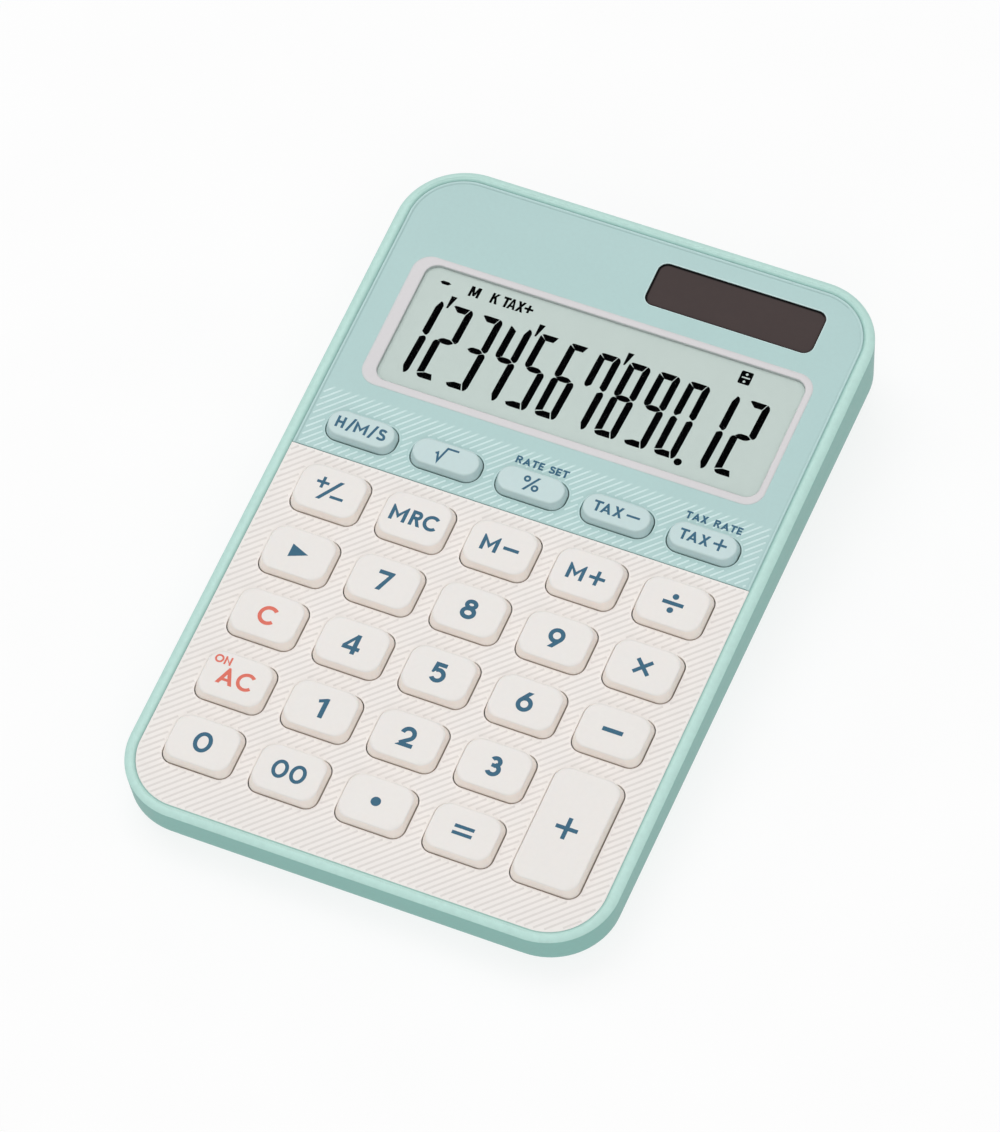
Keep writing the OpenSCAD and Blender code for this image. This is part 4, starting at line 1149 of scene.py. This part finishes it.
LEG["key_memory_plus"] = (put(glyph("M", 0.215)[0], -3.68, -1.68, 3.34, 3.38) + box(0.62, -0.34, 3.76, 0.34) + box(1.85, -1.57, 2.53, 1.57), INK_BLUE)
LEG["key_sign"] = (box(-3.14, 0.92, -0.64, 1.52) + box(-2.19, -0.02, -1.59, 2.46) + P((-2.05, -2.4), (-1.2, -2.4), (2.1, 2.33), (1.26, 2.33)) + box(0.52, -1.57, 3.16, -0.97), INK_BLUE)


def slash(x0, x1, y0, y1, t):
    k = t * 0.5 * 1.12
    return P((x0 - k * 0.4, y0), (x0 + k * 1.5, y0), (x1 + k * 0.4, y1), (x1 - k * 1.5, y1))


LEG["key_hms"] = (put(glyph("H", 0.21)[0], -5.12, -1.2, 1.74 / 0.72, 2.47) + slash(-2.76, -1.56, -1.45, 1.55, 0.5) +
                  put(glyph("M", 0.2)[0], -1.34, -1.2, 2.56, 2.47) + slash(1.74, 2.98, -1.45, 1.55, 0.5) + put(glyph("S", 0.2)[0], 3.4, -1.22, 2.62, 2.52), INK_BLUE)
LEG["key_root"] = (ribbon([(-2.12, 0.02), (-1.72, 0.3), (-1.2, -1.45), (-0.22, 1.65), (2.05, 1.65)], 0.42), INK_BLUE)
LEG["key_percent"] = (band(-1.06, 0.86, 0.49, 0.49, 0, 360, 0.42) + band(1.02, -0.70, 0.52, 0.52, 0, 360, 0.42) +
                      P((-1.32, -1.62), (-0.78, -1.62), (1.42, 1.68), (0.88, 1.68)), INK_BLUE)
LEG["key_tax_minus"] = (put(glyph("T", 0.2)[0], -4.72, -1.1, 1.8 / 0.72, 2.3) + put(glyph("A", 0.2)[0], -3.07, -1.1, 2.12 / 0.92, 2.3) +
                        put(glyph("X", 0.2)[0], -0.62, -1.1, 1.86 / 0.8, 2.3) + box(2.0, -0.18, 4.68, 0.27), INK_BLUE)
LEG["key_tax_plus"] = (put(glyph("T", 0.2)[0], -4.75, -1.1, 1.8 / 0.72, 2.3) + put(glyph("A", 0.2)[0], -3.05, -1.1, 2.12 / 0.92, 2.3) +
                       put(glyph("X", 0.2)[0], -0.62, -1.1, 1.86 / 0.8, 2.3) + box(2.06, -0.12, 4.7, 0.36) + box(3.14, -1.2, 3.62, 1.44), INK_BLUE)

for node, (shapes, mat) in LEG.items():
    if node in MAIN:
        x, y, z = col(MAIN[node][0]), row(MAIN[node][1]), KEY_H
    elif node == "key_plus":
        x, y, z = col(4), PLUS_Y, KEY_H
    else:
        x, y, z = col(PILLS.index(node)), PILL_Y, PILL_H
    legend("print_" + node[4:], node, shapes, x, y, z, mat)
legend("print_on", "key_all_clear", put(on, -5.35, 2.05), col(0), row(3), KEY_H, INK_CORAL)

sh, xe = word("RATE", 0, 0, 1.58, 0.34, 0.16)
s2, xe2 = word("SET", 0, 0, 1.58, 0.34, 0.16)
k1 = 5.6 / xe
k2 = 3.9 / xe2
legend("print_rate_set", None, put(sh, -5.25, 0, k1, 1) + put(s2, 1.53, 0, k2, 1), 0.0, 17.2, 0.055, INK_BLUE, body="casing")
sh, xe = word("TAX", 0, 0, 1.58, 0.34, 0.16)
s2, xe2 = word("RATE", 0, 0, 1.58, 0.34, 0.16)
legend("print_tax_rate", None, put(sh, -5.62, 0, 4.35 / xe, 1) + put(s2, 0.05, 0, 5.6 / xe2, 1), 34.86, 17.2, 0.055, INK_BLUE, body="casing")

# ------------------------------------------------------------------ nodes that keep their CAD shape
# bottom_case and battery_cover take the darker wall mint, partly painted shade
KEEP = {
    "bottom_case": SHELL_LOW_PAINTED_SHADE, "display_window": WINDOW, "lcd_module": LCD_GLASS, "lcd_bracket": WHITE_PL, "lcd_connector": PINK_RB,
    "solar_cell": SOLAR_CELL, "key_membrane": RUBBER_GREY, "circuit_board": BOARD, "logic_chip": RESIN, "capacitor": SLEEVE,
    "inner_screws": STEEL, "solar_lead_red": RED_PVC, "solar_lead_black": BLACK_PVC, "battery_lead_red": RED_PVC,
    "battery_lead_black": BLACK_PVC, "battery_cell": CELL, "battery_contact_positive": BRASS, "battery_contact_negative": BRASS,
    "battery_cover": SHELL_LOW_PAINTED_SHADE, "battery_cover_screw": STEEL, "case_screws": STEEL, "rubber_feet": RUBBER_FOOT,
}
for node, mat in KEEP.items():
    o = NODES[node]
    o.data.materials.clear()
    o.data.materials.append(mat)
    for p in o.data.polygons:
        p.use_smooth = True
    if "custom_normal" in o.data.attributes:
        o.data.attributes.remove(o.data.attributes["custom_normal"])
    w = o.modifiers.new("weld", "WELD")
    w.merge_threshold = 2e-6
    e = o.modifiers.new("edges", "EDGE_SPLIT")
    e.split_angle = math.radians(28)
    e.use_edge_sharp = False

# ------------------------------------------------------------------ floor, light, camera
fm = bpy.data.materials.new("floor_pale")
fm.use_nodes = True
nt = fm.node_tree
b = nt.nodes["Principled BSDF"]
b.inputs["Roughness"].default_value = 0.9
b.inputs["Specular IOR Level"].default_value = 0.1
b.inputs["Emission Color"].default_value = (1, 1, 1, 1)
b.inputs["Emission Strength"].default_value = 0.8
tc = nt.nodes.new("ShaderNodeTexCoord")
nz = nt.nodes.new("ShaderNodeTexNoise")
nz.inputs["Scale"].default_value = 30
ra = nt.nodes.new("ShaderNodeValToRGB")
ra.color_ramp.elements[0].color = (0.19, 0.19, 0.19, 1)
ra.color_ramp.elements[1].color = (0.21, 0.21, 0.21, 1)
nt.links.new(tc.outputs["Object"], nz.inputs["Vector"])
nt.links.new(nz.outputs["Fac"], ra.inputs["Fac"])
nt.links.new(ra.outputs[0], b.inputs["Base Color"])
bm = bmesh.new()
bmesh.ops.create_grid(bm, x_segments=8, y_segments=8, size=3.0)
me = bpy.data.meshes.new("floor")
bm.to_mesh(me)
bm.free()
floor = bpy.data.objects.new("floor", me)
bpy.context.scene.collection.objects.link(floor)
me.materials.append(fm)

world = bpy.data.worlds.new("studio")
bpy.context.scene.world = world
world.use_nodes = True
bg = world.node_tree.nodes["Background"]
bg.inputs["Color"].default_value = (1.0, 1.0, 1.0, 1)
bg.inputs["Strength"].default_value = 0.5


def area(name, loc, target, size, power, color=(1, 1, 1)):
    l = bpy.data.lights.new(name, "AREA")
    l.shape = "SQUARE"
    l.size = size
    l.energy = power
    l.color = color
    o = bpy.data.objects.new(name, l)
    bpy.context.scene.collection.objects.link(o)
    o.location = loc
    o.rotation_mode = "QUATERNION"
    o.rotation_quaternion = (Vector(target) - Vector(loc)).to_track_quat("-Z", "Y")
    return o


area("key_soft", (-0.55, 0.45, 1.5), (0, 0, 0), 1.3, 8.6)
area("fill_top", (0.1, 0.1, 1.8), (0, 0, 0), 1.6, 2.6)
area("front_soft", (0.5, -1.1, 1.0), (0, 0, 0), 1.0, 4.3)

cam_d = bpy.data.cameras.new("camera")
cam = bpy.data.objects.new("camera", cam_d)
bpy.context.scene.collection.objects.link(cam)
cam_d.sensor_fit = "AUTO"
cam_d.sensor_width = 36.0
cam_d.lens = 217.8608
cam_d.clip_start, cam_d.clip_end = 0.05, 20
loc = slope_pts([(332.377, -571.277, 1091.687)])[0]
ax = np.array([(0.916791, 0.392334, -0.074616), (-0.30305, 0.80512, 0.509846), (0.26010, -0.44481, 0.857024)])
c, s = math.cos(TILT), math.sin(TILT)
R = np.array([(1, 0, 0), (0, c, -s), (0, s, c)])
ax = (R @ ax.T).T
ax[2] /= np.linalg.norm(ax[2])
ax[0] -= ax[2] * np.dot(ax[0], ax[2])
ax[0] /= np.linalg.norm(ax[0])
ax[1] = np.cross(ax[2], ax[0])
mw = Matrix(((ax[0][0], ax[1][0], ax[2][0], loc[0]), (ax[0][1], ax[1][1], ax[2][1], loc[1]), (ax[0][2], ax[1][2], ax[2][2], loc[2]), (0, 0, 0, 1)))
cam.matrix_world = mw
bpy.context.scene.camera = cam

vs = bpy.context.scene.view_settings
vs.view_transform = "Standard"
vs.look = "None"
vs.exposure = 0.0
vs.gamma = 1.0

bpy.context.view_layer.update()
